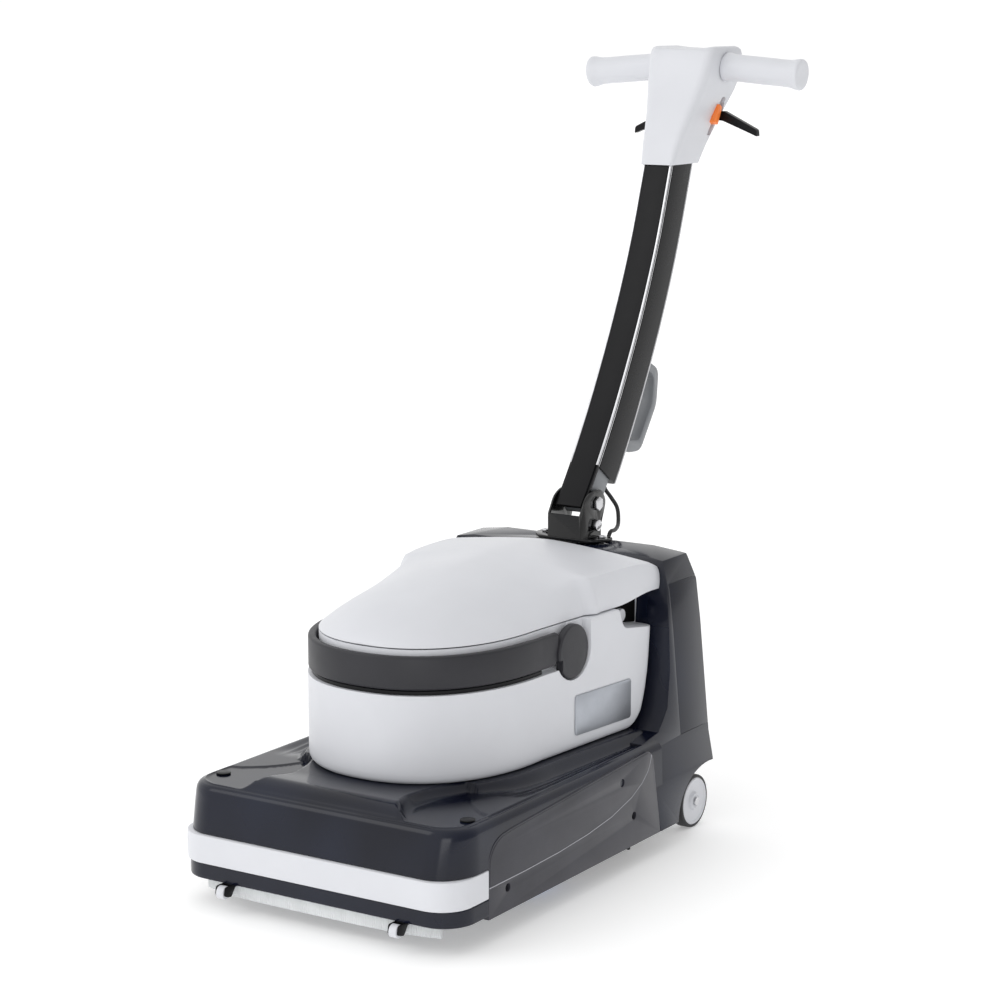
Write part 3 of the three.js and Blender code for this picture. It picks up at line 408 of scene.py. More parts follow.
def finished(obj, node, *more_nodes, material=None):
    """Gives a piece its node's finish and body, and hides the nodes that it stands for."""
    slot = SLOT_OF[node]
    obj.data.materials.clear()
    obj.data.materials.append(material or MATERIALS[slot])
    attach(obj, BODY_OF[node])
    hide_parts(node, *more_nodes)
    return obj


def trim(obj, body, slot, material=None):
    """A piece of trim that no CAD node stands for."""
    obj.data.materials.clear()
    obj.data.materials.append(material or MATERIALS[slot])
    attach(obj, body)
    return obj


# ---------- plan outlines ----------
def tank_half(y, inset=0):
    """Half of the tank's width at a distance back."""
    front = TANK_FRONT + inset
    if y <= front:
        return 0
    if y < TANK_WIDEST:
        u = (TANK_WIDEST - y) / (TANK_WIDEST - front)
        return (TANK_HALF - inset) * (1 - u**TANK_POWER) ** (1 / TANK_POWER)
    spread = (TANK_REAR_HALF - TANK_HALF) / (TANK_SIDE_REAR - TANK_WIDEST)
    return TANK_HALF - inset + spread * (y - TANK_WIDEST)


def both_halves(half):
    """A closed plan outline from its right half, which starts on the centre line."""
    first = 1 if half[0][0] == 0 else 0
    return half + [(-x, y) for x, y in reversed(half[first:])]


def tank_plan(inset, rear, rear_r, steps=40):
    """The tank's outline: a superellipse nose, straight sides and rounded rear corners."""
    half = []
    reach = TANK_WIDEST - TANK_FRONT - inset
    for i in range(steps + 1):
        a = (i / steps) * math.pi / 2
        x = (TANK_HALF - inset) * math.sin(a) ** (2 / TANK_POWER)
        half.append((x, TANK_WIDEST - reach * math.cos(a) ** (2 / TANK_POWER)))
    for y in (260, 300, 340, 380):
        half.append((tank_half(y, inset), y))
    for i in range(9):
        a = (i / 8) * math.pi / 2
        x = tank_half(rear - rear_r, inset) - rear_r + rear_r * math.cos(a)
        half.append((x, rear - rear_r + rear_r * math.sin(a)))
    return both_halves(half)


TANK_REAR = [(171, 446), (178, 458), (192, 471), (241, 485), (300, 491), (341, 494)]


# ---------- camera, floor and light ----------
CAMERA_AZIMUTH, CAMERA_TILT = 32.743, 10.531
CAMERA_PLACE = (1918.8, -2619.1, 1136.3)
LENS = 97.0


def make_camera():
    camera = bpy.data.objects.new("camera", bpy.data.cameras.new("camera"))
    camera.data.lens = LENS
    camera.data.sensor_width = 36
    camera.data.clip_end = 50
    camera.location = at(*CAMERA_PLACE)
    camera.rotation_euler = (math.radians(90 - CAMERA_TILT), 0, math.radians(CAMERA_AZIMUTH))
    bpy.context.scene.collection.objects.link(camera)
    bpy.context.scene.camera = camera


def make_floor():
    reach = 40
    corners = [(-reach, -reach, 0), (reach, -reach, 0), (reach, reach, 0), (-reach, reach, 0)]
    floor = mesh_object("floor", corners, [(0, 1, 2, 3)])
    material, _, shader = new_material("floor", (0.93, 0.93, 0.93), 0.7)
    shader.inputs["Emission Color"].default_value = (1, 1, 1, 1)
    shader.inputs["Emission Strength"].default_value = 0.27
    floor.data.materials.append(material)


def area_light(name, place, aim, size, power):
    light = bpy.data.objects.new(name, bpy.data.lights.new(name, "AREA"))
    light.data.shape = "RECTANGLE"
    light.data.size, light.data.size_y = size
    light.data.energy = power
    light.location = place
    light.rotation_euler = (Vector(aim) - Vector(place)).to_track_quat("-Z", "Y").to_euler()
    bpy.context.scene.collection.objects.link(light)


def make_light():
    """A white studio, dimmer to the machine's right, with a soft key and a low fill in front."""
    world = bpy.data.worlds.new("studio")
    world.use_nodes = True
    tree = world.node_tree
    background = tree.nodes["Background"]
    place = tree.nodes.new("ShaderNodeTexCoord")
    parts = tree.nodes.new("ShaderNodeSeparateXYZ")
    dim = tree.nodes.new("ShaderNodeMapRange")
    dim.inputs["From Min"].default_value = 0.05
    dim.inputs["From Max"].default_value = 0.95
    dim.inputs["To Min"].default_value = 1.03
    dim.inputs["To Max"].default_value = 0.44
    tree.links.new(place.outputs["Generated"], parts.inputs["Vector"])
    tree.links.new(parts.outputs["X"], dim.inputs["Value"])
    background.inputs["Color"].default_value = (1, 1, 1, 1)
    tree.links.new(dim.outputs["Result"], background.inputs["Strength"])
    bpy.context.scene.world = world
    area_light("key", (-1.8, -2.6, 2.6), (0, 0, 0.4), (1.8, 1.8), 13)
    area_light("low_fill", (1.5, -2.6, 0.6), (0, 0, 0.2), (1.2, 0.8), 6)
    bpy.context.scene.view_settings.view_transform = "Standard"


# ---------- chassis ----------
HUMP_INNER = [(-67, 128), (-47, 122), (-27, 106), (0, 95), (18, 92), (60, 100), (103, 119)]
LEDGE_END = [(100, 128), (68, 147), (45, 168), (33, 185), (27, 205), (25, 220)]
LIP = 1.7  # height of the rounded lip along the deck's edge
DECK_LOW, HUMP_TOP = 157, 170
DECK_FRONT_RISE = [(0, 0), (6, 6), (13, 11.5), (22, 15.6), (34, 16.6)]  # behind the rim's front


def deck_height(x, y, edge):
    """Height of the deck's top surface; edge is the distance in from its rim."""
    side = abs(x)
    inner = curve_at(HUMP_INNER, y) if y < 100 else max(119, tank_half(y) + 9)
    front_rise = DECK_LOW + curve_at(DECK_FRONT_RISE, y - RIM_FRONT)
    hump = min(HUMP_TOP + 3.5 * (1 - smooth(-30, 25, y)), front_rise)
    ledge_end_y = curve_at([(s, y0) for y0, s in LEDGE_END], side)
    recess = smooth(ledge_end_y + 1.2, ledge_end_y - 1.2, y)
    crest = math.exp(-(((edge - 2.6) / 2.0) ** 2))
    lip = LIP * mix(smooth(0, 3, edge), crest, recess)
    behind = smooth(100, 150, y)
    across = smooth(inner, HALF_WIDTH - 12, side)
    ridge = 1.6 * math.exp(-(((across - 0.62) / 0.1) ** 2))
    valley = behind * (4.5 * math.sin(math.pi * across) - ridge)
    low = DECK_LOW + lip + 1.2 * smooth(200, 420, y) - valley
    climb = min(1, max(0, (inner - side + 13) / 15)) ** 1.7
    return mix(low, max(hump, low), climb)


def rim_plan():
    """The deck's top rim: (x, y) along one half, close together where the surface is detailed."""
    corner_x, corner_y = RIM_HALF - RIM_R, RIM_FRONT + RIM_R
    right = [(corner_x * i / 50, RIM_FRONT) for i in range(50)]
    for i in range(25):
        a = (i / 24) * math.pi / 2
        right.append((corner_x + RIM_R * math.sin(a), corner_y - RIM_R * math.cos(a)))
    right += [(RIM_HALF, corner_y + 3 * i) for i in range(1, 43)]
    right += [(RIM_HALF, y) for y in range(125, TANK_SEAT_REAR, 12)]
    return right


# The deck's outer wall at its levels: how far it stands out beyond the rim at the front and at the
# sides, and its height.
DECK_WALL = [(19, 11, 98), (17, 10.7, 108), (13, 10.1, 128), (9.5, 9.6, 143), (8, 8.6, 149.5)]
DECK_WALL += [(5.5, 6.2, 153.8), (3, 3, 156.3), (1.4, 1.3, 156.9)]


def deck_wall_ring(rim, out_front, out_side, z):
    corner_x, corner_y = RIM_HALF - RIM_R, RIM_FRONT + RIM_R
    half = []
    for x, y in rim:
        if x >= RIM_HALF - 1e-6:
            half.append((x + out_side, y))
        elif y <= RIM_FRONT + 1e-6:
            half.append((x, y - out_front))
        else:
            turn = math.atan2(x - corner_x, corner_y - y)
            half.append((x + out_side * math.sin(turn), y - out_front * math.cos(turn)))
    return [at(x, y, z) for x, y in both_halves(half)]


def deck_top_ring(rim, share):
    """The deck's surface at a share of the way from its rim to a slim outline in its middle."""
    slim, middle_front = 0.42, 60
    squeeze = (TANK_SEAT_REAR - middle_front) / (TANK_SEAT_REAR - rim[0][1])
    half = []
    for x, y in rim:
        start = Vector((x, y))
        middle = Vector((slim * x, middle_front + (y - rim[0][1]) * squeeze))
        place = start.lerp(middle, share)
        edge = (place - start).length
        half.append((place.x, place.y, deck_height(place.x, place.y, edge)))
    left = [(-x, y, z) for x, y, z in reversed(half[1:])]
    return [at(*p) for p in half + left]


def front_deck():
    rim = rim_plan()
    steps = 62
    rings = [deck_wall_ring(rim, *row) for row in DECK_WALL]
    rings += [deck_top_ring(rim, k / steps) for k in range(steps + 1)]
    deck = loft("front_deck_skin", rings, caps=False)
    finished(shaded(deck, 50), "front_deck")


def band(name, bottom, top, stand, wall, rear, crown=0.0):
    """A band round the chassis' front, with rounded edges and a slight crown."""
    rings = []
    section = [(wall, bottom), (1.2, bottom), (0.3, bottom + 0.6), (0, bottom + 2)]
    for i in range(1, 6):
        section.append((-crown * math.sin(math.pi * i / 6), mix(bottom + 2, top - 2, i / 6)))
    section += [(0, top - 2), (0.3, top - 0.6), (1.2, top), (wall, top)]
    for inward, z in section:
        front = FRONT_Y - stand + inward
        half = HALF_WIDTH - max(inward, 0)
        r = CORNER_R - max(inward, 0)
        half_plan = [(0, front), (half * 0.4, front)]
        for i in range(17):
            a = (i / 16) * math.pi / 2
            half_plan.append((half - r + r * math.sin(a), front + r - r * math.cos(a)))
        half_plan.append((half, rear))
        left = [(-x, y) for x, y in reversed(half_plan[1:])]
        rings.append([at(x, y, z) for x, y in left + half_plan])
    rings.append(rings[0])
    obj = loft(name, rings, closed=False, caps=False)
    fill_ends(obj)
    return obj


def fill_ends(obj):
    """Closes the open borders of a mesh."""
    bm = bmesh.new()
    bm.from_mesh(obj.data)
    bmesh.ops.remove_doubles(bm, verts=bm.verts, dist=1e-6)
    border = [e for e in bm.edges if e.is_boundary]
    bmesh.ops.holes_fill(bm, edges=border, sides=0)
    bmesh.ops.recalc_face_normals(bm, faces=bm.faces)
    bm.to_mesh(obj.data)
    bm.free()


def bumper_and_strip():
    bumper_wall, strip_wall, gap = 9, 5, 0.4
    rear = SIDE_PANEL_FRONT - gap
    bumper = band("bumper_band", *BUMPER_Z, BUMPER_STAND, bumper_wall, rear, crown=0.6)
    finished(shaded(bumper, 40), "front_bumper")
    strip = band("lower_strip_band", *STRIP_Z, 0, strip_wall, rear)
    finished(shaded(strip, 40), "front_lower_strip")


SKIRT_THICK, SKIRT_HOLE_R = 9, 5.5
SKIRT_OUTLINE = [(8, 33), (8, 111, 6), (17, 125, 8), (34, 134, 14), (60, 136.5, 8), (398, 154, 10)]
SKIRT_OUTLINE += [(410, 145, 6), (433, 33)]
SKIRT_HOLES = [(51, 63), (328, 127), (361, 74)]
RELIEF_TOP = [(9.5, 74.5), (10.5, 110, 5), (19, 123, 8), (35, 131.8, 14), (60, 134.3, 8),
              (396, 151.8, 6)]
RELIEF_TOP += [(404, 147, 3)]
RELIEF_LINE = [(8.5, 73.5), (90, 74), (170, 76), (240, 80.5), (300, 88), (352, 101), (380, 114)]
RELIEF_LINE += [(396, 127), (402, 138), (405, 147)]


def side_skirts():
    """The side panels, whose upper part stands out above a sweeping line, with a thin lighter bead
    along that line as a painted highlight.
    """
    inner = HALF_WIDTH - SKIRT_THICK
    stand, beyond = 0.9, 5
    panel = plate("side_skirt_panel_right", "x", rounded(SKIRT_OUTLINE), inner, HALF_WIDTH)
    relief = rounded(RELIEF_TOP + RELIEF_LINE[-2:0:-1])
    join(panel, [plate("raised", "x", relief, HALF_WIDTH - 3, HALF_WIDTH + stand)])
    ends = (inner - beyond, HALF_WIDTH + beyond)
    cut(panel, [disc("hole", "x", place, SKIRT_HOLE_R, *ends, 24) for place in SKIRT_HOLES])
    softened(panel, 0.7, 3, 28)
    # A lighter grey bead along the sweeping line: painted highlight.
    highlight_bead = tube("relief_highlight_right", [(HALF_WIDTH + 0.35, y, z) for y, z in RELIEF_LINE], 0.75)
    for side_name, part in (("right", panel), ("left", mirrored(panel, "side_skirt_panel_left"))):
        finished(part, "side_skirt_" + side_name)
    trim(shaded(mirrored(highlight_bead, "relief_highlight_left"), 60), "chassis", "skirt_grey", PAINTED_HIGHLIGHT_BEAD)
    trim(shaded(highlight_bead, 60), "chassis", "skirt_grey", PAINTED_HIGHLIGHT_BEAD)
    # Near-black discs behind the panels' holes: painted shade inside the holes.
    for side in (-1, 1):
        for place in SKIRT_HOLES:
            ends = sorted((side * (HALF_WIDTH - 12), side * (HALF_WIDTH - 7)))
            plug = disc("skirt_hole_shade", "x", place, SKIRT_HOLE_R - 0.1, *ends, 24)
            trim(plug, "chassis", "black_plastic", PAINTED_SHADE_BLACK)


def tube(name, points, radius, sides=10):
    """A round bead along places in millimetres."""
    line = [Vector(p) for p in points]
    rings = []
    for i, here in enumerate(line):
        along = (line[min(i + 1, len(line) - 1)] - line[max(i - 1, 0)]).normalized()
        across = along.cross(Vector((1, 0, 0)))
        if across.length < 0.2:
            across = along.cross(Vector((0, 0, 1)))
        across.normalize()
        up = across.cross(along).normalized()
        ring = []
        for k in range(sides):
            a = 2 * math.pi * k / sides
            ring.append(at(*(here + radius * (math.cos(a) * across + math.sin(a) * up))))
        rings.append(ring)
    return loft(name, rings)


def rear_housing():
    finished(refined("rear_housing", 1.8, 3), "rear_housing")
    finished(refined("battery_door", 1.0, 3), "battery_door")


def wheels():
    profile = [(166, 6.2), (166, 13), (174, 13), (177, 27), (174, 33), (174, 33.3), (190, 33.3)]
    profile += [(191.4, 32), (191.6, 30.5), (190.6, 29.4), (189.8, 28.6), (189.2, 24), (188.6, 15)]
    profile += [(188.8, 13.2), (190.6, 12), (192.4, 11.2), (192.6, 9.5), (191.8, 8.6), (191.8, 6.2)]
    disc_right = lathe("wheel_disc_right", profile + profile[:1], WHEEL_Y, WHEEL_R, 72)
    shaded(disc_right, 30)
    r = WHEEL_R
    tread = [(172.5, 33.4), (172.5, r - 1.6), (173.2, r - 0.5), (174.6, r), (188.6, r)]
    tread += [(190.1, r - 0.5)]
    tread += [(190.9, r - 1.6), (191, 33.4), (172.5, 33.4)]
    tyre_right = shaded(lathe("tyre_tread_right", tread, WHEEL_Y, WHEEL_R, 72), 30)
    finished(mirrored(disc_right, "wheel_disc_left"), "wheel_left")
    finished(mirrored(tyre_right, "tyre_tread_left"), "tyre_left")
    finished(disc_right, "wheel_right")
    finished(tyre_right, "tyre_right")


# ---------- recovery tank ----------
BOSS_INNER, BOSS_OUTER = 150, 160.5


def bail_room():
    """What the tank leaves free for the bail and its bosses."""
    margin = BAIL_THICK + 3.6
    plan = tank_plan(margin, 520, 26)
    inner = loft("inner", [[at(x, y, z) for x, y in plan] for z in (270, 360)])
    front = cut(box("front", (-200, 200), (0, BAIL_PIVOT[0]), (TANK_GROOVE, 350)), [inner])
    rooms = [front]
    for side in (-1, 1):
        ends = sorted((side * (BOSS_INNER - 0.5), side * 200))
        rooms.append(disc("boss", "x", BAIL_PIVOT, BAIL_BOSS_R + 2, *ends, 64))
        depths = (BAIL_PIVOT[0] - 38, BAIL_PIVOT[0] + 38)
        rooms.append(box("swing", ends, depths, (BAIL_PIVOT[1], 350)))
    return rooms


POCKET_DEPTH = 138  # half width at which each rear corner's finger pocket ends


def recovery_tank():
    """The tank's shell. Its levels are height, inset, rear and the radius of its rear corners."""
    levels = [(171, 6, 440, 20), (172.5, 3.6, 446, 23), (174.5, 1.8, 451, 26), (178, 0.4, 457, 28)]
    levels += [(184, 0, 464, 28)]
    heights = (192, 205, 222, 241, 262, 284, 300, 320, 338)
    levels += [(z, 0, curve_at(TANK_REAR, z), 28) for z in heights]
    levels += [(340.2, 0.6, 493.5, 28), (341, 1.8, 492.5, 28)]
    rings = [[at(x, y, z) for x, y in tank_plan(i, rear, r)] for z, i, rear, r in levels]
    tank = loft("tank_shell", rings)
    cut(tank, bail_room())
    inside = tank_plan(18.3, 380, 20)
    hollow = [[at(x, y, z) for x, y in inside] for z in (177, 353)]
    pocket = rounded([(393, 350), (408, 313, 10), (520, 298, 4), (520, 350)])
    sides = ((POCKET_DEPTH, 200), (-200, -POCKET_DEPTH))
    pockets = [plate("pocket", "x", pocket, *ends) for ends in sides]
    cut(tank, [loft("hollow", hollow), *pockets])
    softened(tank, 1.6, 3, 30, 0)
    finished(tank, "recovery_tank")


def label_plate():
    """A blank name plate on the tank's right side."""
    front, rear, low, slant = 296, 424, 190, -0.015
    rows = []
    for up, corner in ((0, 4), (1.2, 1.2), (4, 0), (50, 0), (52.8, 1.2), (54, 4)):
        line = [mix(front + corner, rear - corner, i / 16) for i in range(17)]
        rows.append([at(tank_half(y) + 0.5, y, low + up + (y - front) * slant) for y in line])
    plate_obj = loft("name_plate", rows, closed=False, caps=False)
    solid = plate_obj.modifiers.new("thick", "SOLIDIFY")
    solid.thickness = 0.0008
    solid.offset = 1
    baked(plate_obj)
    trim(softened(plate_obj, 0.3, 2, 50), "tank", "shell_grey", LABEL)


# ---------- lid ----------
LID_CROWN = [(46, 345), (52, 351.5), (60, 358), (75, 366.5), (90, 373), (110, 380), (130, 385.5)]
LID_CROWN += [(160, 392), (200, 399), (250, 406), (300, 410), (365, 413), (450, 409), (490, 402)]
LID_CROWN += [(504, 397), (511, 390)]
LID_CREASE = [(200, 372), (305, 382), (346, 389), (420, 391), (491, 387), (512, 378)]
LID_STATIONS = [205, 225, 245, 265, 285, 300, 312, 322, 328, 333, 338, 343, 348, 353, 358, 364, 372]
LID_STATIONS += [385, 400, 415, 430, 445, 460, 472, 482, 490, 496, 501, 505, 509]


def lid_section(y, steps=56):
    """The lid across a station: a soft tent at the front, with flanks and a crease at the rear."""
    inset = 14 - 7 * smooth(334, 352, y)
    half = tank_half(y, inset)
    foot = LID_BOTTOM + 0.8 + 8 * smooth(404, 486, y)
    crown = curve_at(LID_CROWN, y)
    edge = smooth(180, 330, y)
    crease_x = half - mix(22, 9, smooth(300, 390, y))
    crease_z = curve_at(LID_CREASE, y)
    rib = 2.2 * math.exp(-(((y - 352) / 9) ** 2))
    ring = []
    for i in range(steps + 1):
        share = 1 - abs(2 * i / steps - 1)
        side = 1 if i <= steps / 2 else -1
        rim_x = half * (1 - share)
        tent_z = foot + (crown - foot) * (1 - (1 - share) ** 2.3)
        if share < 0.3:
            up = share / 0.3
            flank_x = mix(half, crease_x, up**1.8)
            flank_z = mix(foot, crease_z, 1 - (1 - up) ** 1.15)
        else:
            inward = (share - 0.3) / 0.7
            flank_x = crease_x * (1 - inward)
            flank_z = crease_z + (crown - crease_z) * (1 - (1 - inward) ** 1.45)
        x = mix(rim_x, flank_x, edge) + rib * (1 - smooth(0.28, 0.6, share)) * edge
        ring.append(at(side * max(0, x), y, mix(tent_z, flank_z, edge)))
    return ring


def tank_lid():
    nose = [46.3 + 150 * (1 - math.cos(i / 26 * math.pi / 2)) ** 1.3 for i in range(27)]
    stations = nose + LID_STATIONS
    stations = [y for i, y in enumerate(stations) if i == 0 or y > stations[i - 1]]
    lid = loft("lid_shell", [lid_section(y) for y in stations])
    shaded(lid, 35)
    finished(lid, "tank_lid")


# ---------- bail ----------
def bail_section(radius=3.2, steps=3):
    """The band's rounded section: places across its thickness and its height."""
    half_thick = BAIL_THICK / 2 - radius
    half_height = (BAIL_Z[1] - BAIL_Z[0]) / 2 - radius
    section = []
    for sx, sz, start in ((1, 1, 0), (-1, 1, 1), (-1, -1, 2), (1, -1, 3)):
        for k in range(steps + 1):
            a = (start + k / steps) * math.pi / 2
            across = sx * half_thick + radius * math.cos(a)
            section.append((across, sz * half_height + radius * math.sin(a)))
    return section


def front_half(plan, rear):
    """The part of a closed plan outline in front of a line, from its left end to its right end."""
    right = [(x, y) for x, y in plan if x >= 0 and y < rear]
    return [(-x, y) for x, y in reversed(right[1:])] + right


def bail_band():
    path = front_half(tank_plan(0.5, 480, 26, 56), BAIL_PIVOT[0] + 4)
    middle = sum(BAIL_Z) / 2
    section = bail_section()
    rings = []
    for i, (x, y) in enumerate(path):
        x0, y0 = path[max(0, i - 1)]
        x1, y1 = path[min(len(path) - 1, i + 1)]
        along = Vector((x1 - x0, y1 - y0)).normalized()
        outward = Vector((along.y, -along.x))
        centre = Vector((x, y)) - outward * BAIL_THICK / 2
        places = [(centre + outward * u, v) for u, v in section]
        rings.append([at(p.x, p.y, middle + v) for p, v in places])
    return loft("bail_hoop", rings)


def carry_bail():
    """The band round the tank's front, thinned beside its bosses so that it can swing up."""
    bail = bail_band()
    swing_room = [(143, 186), (148.8, 214), (150, 254), (150, 300), (120, 300), (120, 186)]
    mirrored_room = [(-x, y) for x, y in swing_room]
    cut(bail, [plate("swing_room", "z", room, 200, 400) for room in (swing_room, mirrored_room)])
    bosses = []
    for side in (-1, 1):
        ends = sorted((side * BOSS_INNER, side * BOSS_OUTER))
        bosses.append(softened(disc("boss", "x", BAIL_PIVOT, BAIL_BOSS_R, *ends, 72), 2.5, 4))
    join(bail, bosses)
    notches = [box("notch", ends, (255, 266), (260, 298)) for ends in ((140, 170), (-170, -140))]
    cut(bail, notches)
    finished(shaded(bail, 32), "carry_bail")


# ---------- handle ----------
COLUMN_PATH = [(556, 411), (589, 454), (624.6, 504.4), (670, 577), (724.6, 676.7), (771, 778.4)]
COLUMN_PATH += [(808, 881.7), (830.4, 952)]
COLUMN_HALF = 23
COVER_START, EXTRUSION_START, COLUMN_END = 0.025, 0.137, 0.97  # shares of the path's length
COLUMN_FRONT, COLUMN_JOINT, COLUMN_REAR = -30.5, -24, 30.5


def path_points(points, per_span=8):
    """Points along a Catmull-Rom line through places."""
    ends = [2 * Vector(points[0]) - Vector(points[1])] + [Vector(p) for p in points]
    ends.append(2 * Vector(points[-1]) - Vector(points[-2]))
    line = []
    for i in range(1, len(ends) - 2):
        p0, p1, p2, p3 = ends[i - 1 : i + 3]
        for k in range(per_span + (i == len(ends) - 3)):
            t = k / per_span
            line.append(0.5 * (2 * p1 + (p2 - p0) * t + (2 * p0 - 5 * p1 + 4 * p2 - p3) * t**2
                               + (3 * p1 - p0 - 3 * p2 + p3) * t**3))
    return line


COLUMN_LINE = path_points(COLUMN_PATH)


def column_share(share):
    """Place and direction on the column's line at a share of its length."""
    lengths = [0.0]
    for a, b in zip(COLUMN_LINE, COLUMN_LINE[1:]):
        lengths.append(lengths[-1] + (b - a).length)
    want = share * lengths[-1]
    for i in range(len(COLUMN_LINE) - 1):
        if lengths[i + 1] >= want:
            break
    a, b = COLUMN_LINE[i], COLUMN_LINE[i + 1]
    place = a.lerp(b, (want - lengths[i]) / (lengths[i + 1] - lengths[i]))
    before, after = COLUMN_LINE[max(0, i - 1)], COLUMN_LINE[min(len(COLUMN_LINE) - 1, i + 2)]
    return place, (after - before).normalized()


def along_column(name, section, start, end, steps=48):
    """A section of (x, depth) carried along the column; depth is towards the rear."""
    rings = []
    for i in range(steps + 1):
        place, along = column_share(mix(start, end, i / steps))
        back = Vector((along.y, -along.x))
        ring = []
        for x, depth in section:
            p = place + back * depth
            ring.append(at(x, p.x, p.y))
        rings.append(ring)
    return loft(name, rings)


def highlight_strip(name, side, across, depths, radius, run):
    """A light metal strip along one edge of the column, between the two shares of a run: a painted
    highlight where the rounded edge catches the light.
    """
    (left, right), (low, high) = sorted(side * x for x in across), depths
    corners = [(left, low), (right, low), (right, high), (left, high)]
    strip = along_column(name, rounded([(x, d, radius) for x, d in corners], 3), *run)
    trim(shaded(strip, 40), "handle", "black_aluminium", PAINTED_HIGHLIGHT_METAL)


def column_pieces():
    h, front, joint, rear = COLUMN_HALF, COLUMN_FRONT, COLUMN_JOINT, COLUMN_REAR
    edge = h - 3.2
    cover = [(-edge, front, 1), (edge, front, 1), (edge, joint), (-edge, joint)]
    plate_front = along_column("column_front_plate", rounded(cover, 3), COVER_START, COLUMN_END)
    finished(shaded(plate_front, 35), "column_cover")
    body_front = joint + 0.4
    body = [(-h, body_front, 1.5), (h, body_front, 1.5), (h, rear, 5), (-h, rear, 5)]
    extrusion = along_column("column_extrusion", rounded(body, 4), EXTRUSION_START, COLUMN_END)
    finished(shaded(extrusion, 35), "column")
    run = (EXTRUSION_START, COLUMN_END - 0.004)
    rear_run = (EXTRUSION_START + 0.001, run[1])
    for side, name in ((-1, "left"), (1, "right")):
        # Light strips along the column's front edge, joint and rear edge: painted highlights.
        strips = (
            ("front_edge_", (h - 3, h + 0.2), (front - 0.2, front + 2.6), 1.0, run),
            ("joint_edge_", (h - 1.5, h + 0.35), (front + 4.4, front + 5.6), 0.4, run),
            ("rear_edge_", (h - 3, h + 0.35), (rear - 2.2, rear + 0.35), 1.0, rear_run),
        )
        for strip, *measures in strips:
            highlight_strip(strip + name, side, *measures)
        inner, outer = side * edge, side * h
        low, high = front + 2.4, front + 6.2
        filler = [(inner, low), (outer, low), (outer, high), (inner, high)]
        side_plate = along_column("front_side_" + name, filler, COVER_START, COLUMN_END - 0.003)
        trim(shaded(side_plate, 40), "handle", "black_plastic")


# The head's outline at its levels: height, front, rear, half width, radius of its corners.
HEAD = [(902, 779.5, 861, 26.5, 5), (915, 783.5, 870, 28.5, 7), (930, 788.5, 880, 31, 9)]
HEAD += [(946, 796, 893, 33.5, 10), (962, 804, 905, 36.5, 11), (977, 811.5, 917, 39.5, 12)]
HEAD += [(992, 819, 928, 43, 12), (1006, 825.5, 938, 46, 12), (1020, 831, 945, 48.5, 12)]
HEAD += [(1034, 836.5, 948.5, 50.5, 12), (1048, 841, 950, 52, 12), (1058, 844.5, 948, 52.5, 12)]
HEAD += [(1064, 847.5, 944, 52.5, 12)]


def head_ring(z, front, rear, half, r, inset=0.0, dip=0.0):
    """The head at one level; dip lowers its middle, so that its top is a shallow saddle."""
    ring = []
    r = max(2, r - inset)
    for sx, sy, start in ((1, 1, 0), (-1, 1, 1), (-1, -1, 2), (1, -1, 3)):
        for k in range(7):
            a = (start + k / 6) * math.pi / 2
            x = sx * (half - inset - r) + r * math.cos(a)
            y_middle = rear - inset - r if sy > 0 else front + inset + r
            saddle = dip * (1 - (abs(x) / half) ** 2.5)
            ring.append(at(x, y_middle + r * math.sin(a), z - saddle))
        if start in (0, 2):
            x_mid = [half * 0.6, half * 0.2, -half * 0.2, -half * 0.6]
            y = (rear - inset) if sy > 0 else (front + inset)
            for x in (x_mid if sy > 0 else reversed(x_mid)):
                saddle = dip * (1 - (abs(x) / half) ** 2.5)
                ring.append(at(x, y, z - saddle))
    return ring


HEAD_CAP = [(1067.5, 850, 938, 52, 12, 0.8, 2.0), (1069.6, 853, 933, 51, 12, 2.5, 4.0)]
HEAD_CAP += [(1070, 856, 928, 50, 12, 6, 5.5), (1069.6, 862, 920, 50, 12, 14, 6.5)]
KEY_SLOT = [(870, 941, 5), (881, 941, 5), (909, 995, 5), (897, 997, 5)]
KEY_SLOT_DEPTH, LEVER_SLOT_DEPTH = 26.5, 27  # half widths at which the slots end


def handle_head():
    head = loft("head_shell", [head_ring(*row) for row in HEAD + HEAD_CAP])
    cut(head, [plate("key_slot", "x", rounded(KEY_SLOT), KEY_SLOT_DEPTH, 60)])
    sides = ((LEVER_SLOT_DEPTH, 60), (-60, -LEVER_SLOT_DEPTH))
    cut(head, [box("slot", ends, (LEVER_Y - 7, LEVER_Y + 7), (950, 988)) for ends in sides])
    softened(head, 1.2, 3, 32, 0)
    finished(head, "head_front_shell", "head_rear_shell")


def grip(side, name):
    """A soft grip with an end flange, on a line that droops outwards from the head."""
    profile = [(-2, 12), (-2, 20.5), (0, 21.3), (4, 21.2), (9, 20), (20, 19.5), (60, 19.7)]
    profile += [(92, 19.5)]
    profile += [(102, 19.9), (108, 20.8), (112, 21.8), (115.5, 22.4), (118.5, 22.5), (120.3, 21.4)]
    profile += [(120.9, 19), (120.7, 12), (120.1, 4), (120.1, 0.01), (-2, 0.01), (-2, 12)]
    droop = math.radians(GRIP_DROOP)
    sides = 56
    rings = []
    for i in range(sides + 1):
        a = 2 * math.pi * i / sides
        ring = []
        for x, r in profile:
            along, up = GRIP_INNER + x, r * math.sin(a)
            across = along * math.cos(droop) + up * math.sin(droop)
            height = GRIP_ROOT_Z + up * math.cos(droop) - along * math.sin(droop)
            ring.append(at(side * across, GRIP_Y + r * math.cos(a), height))
        rings.append(ring)
    obj = loft("grip_sleeve_" + name, rings, caps=False)
    finished(shaded(obj, 35), "grip_" + name)


def key_and_levers():
    for name in ("left", "right"):
        finished(refined("lever_" + name, 1.2, 3), "lever_" + name)
    finished(refined("safety_key", 1.6, 4), "safety_key")


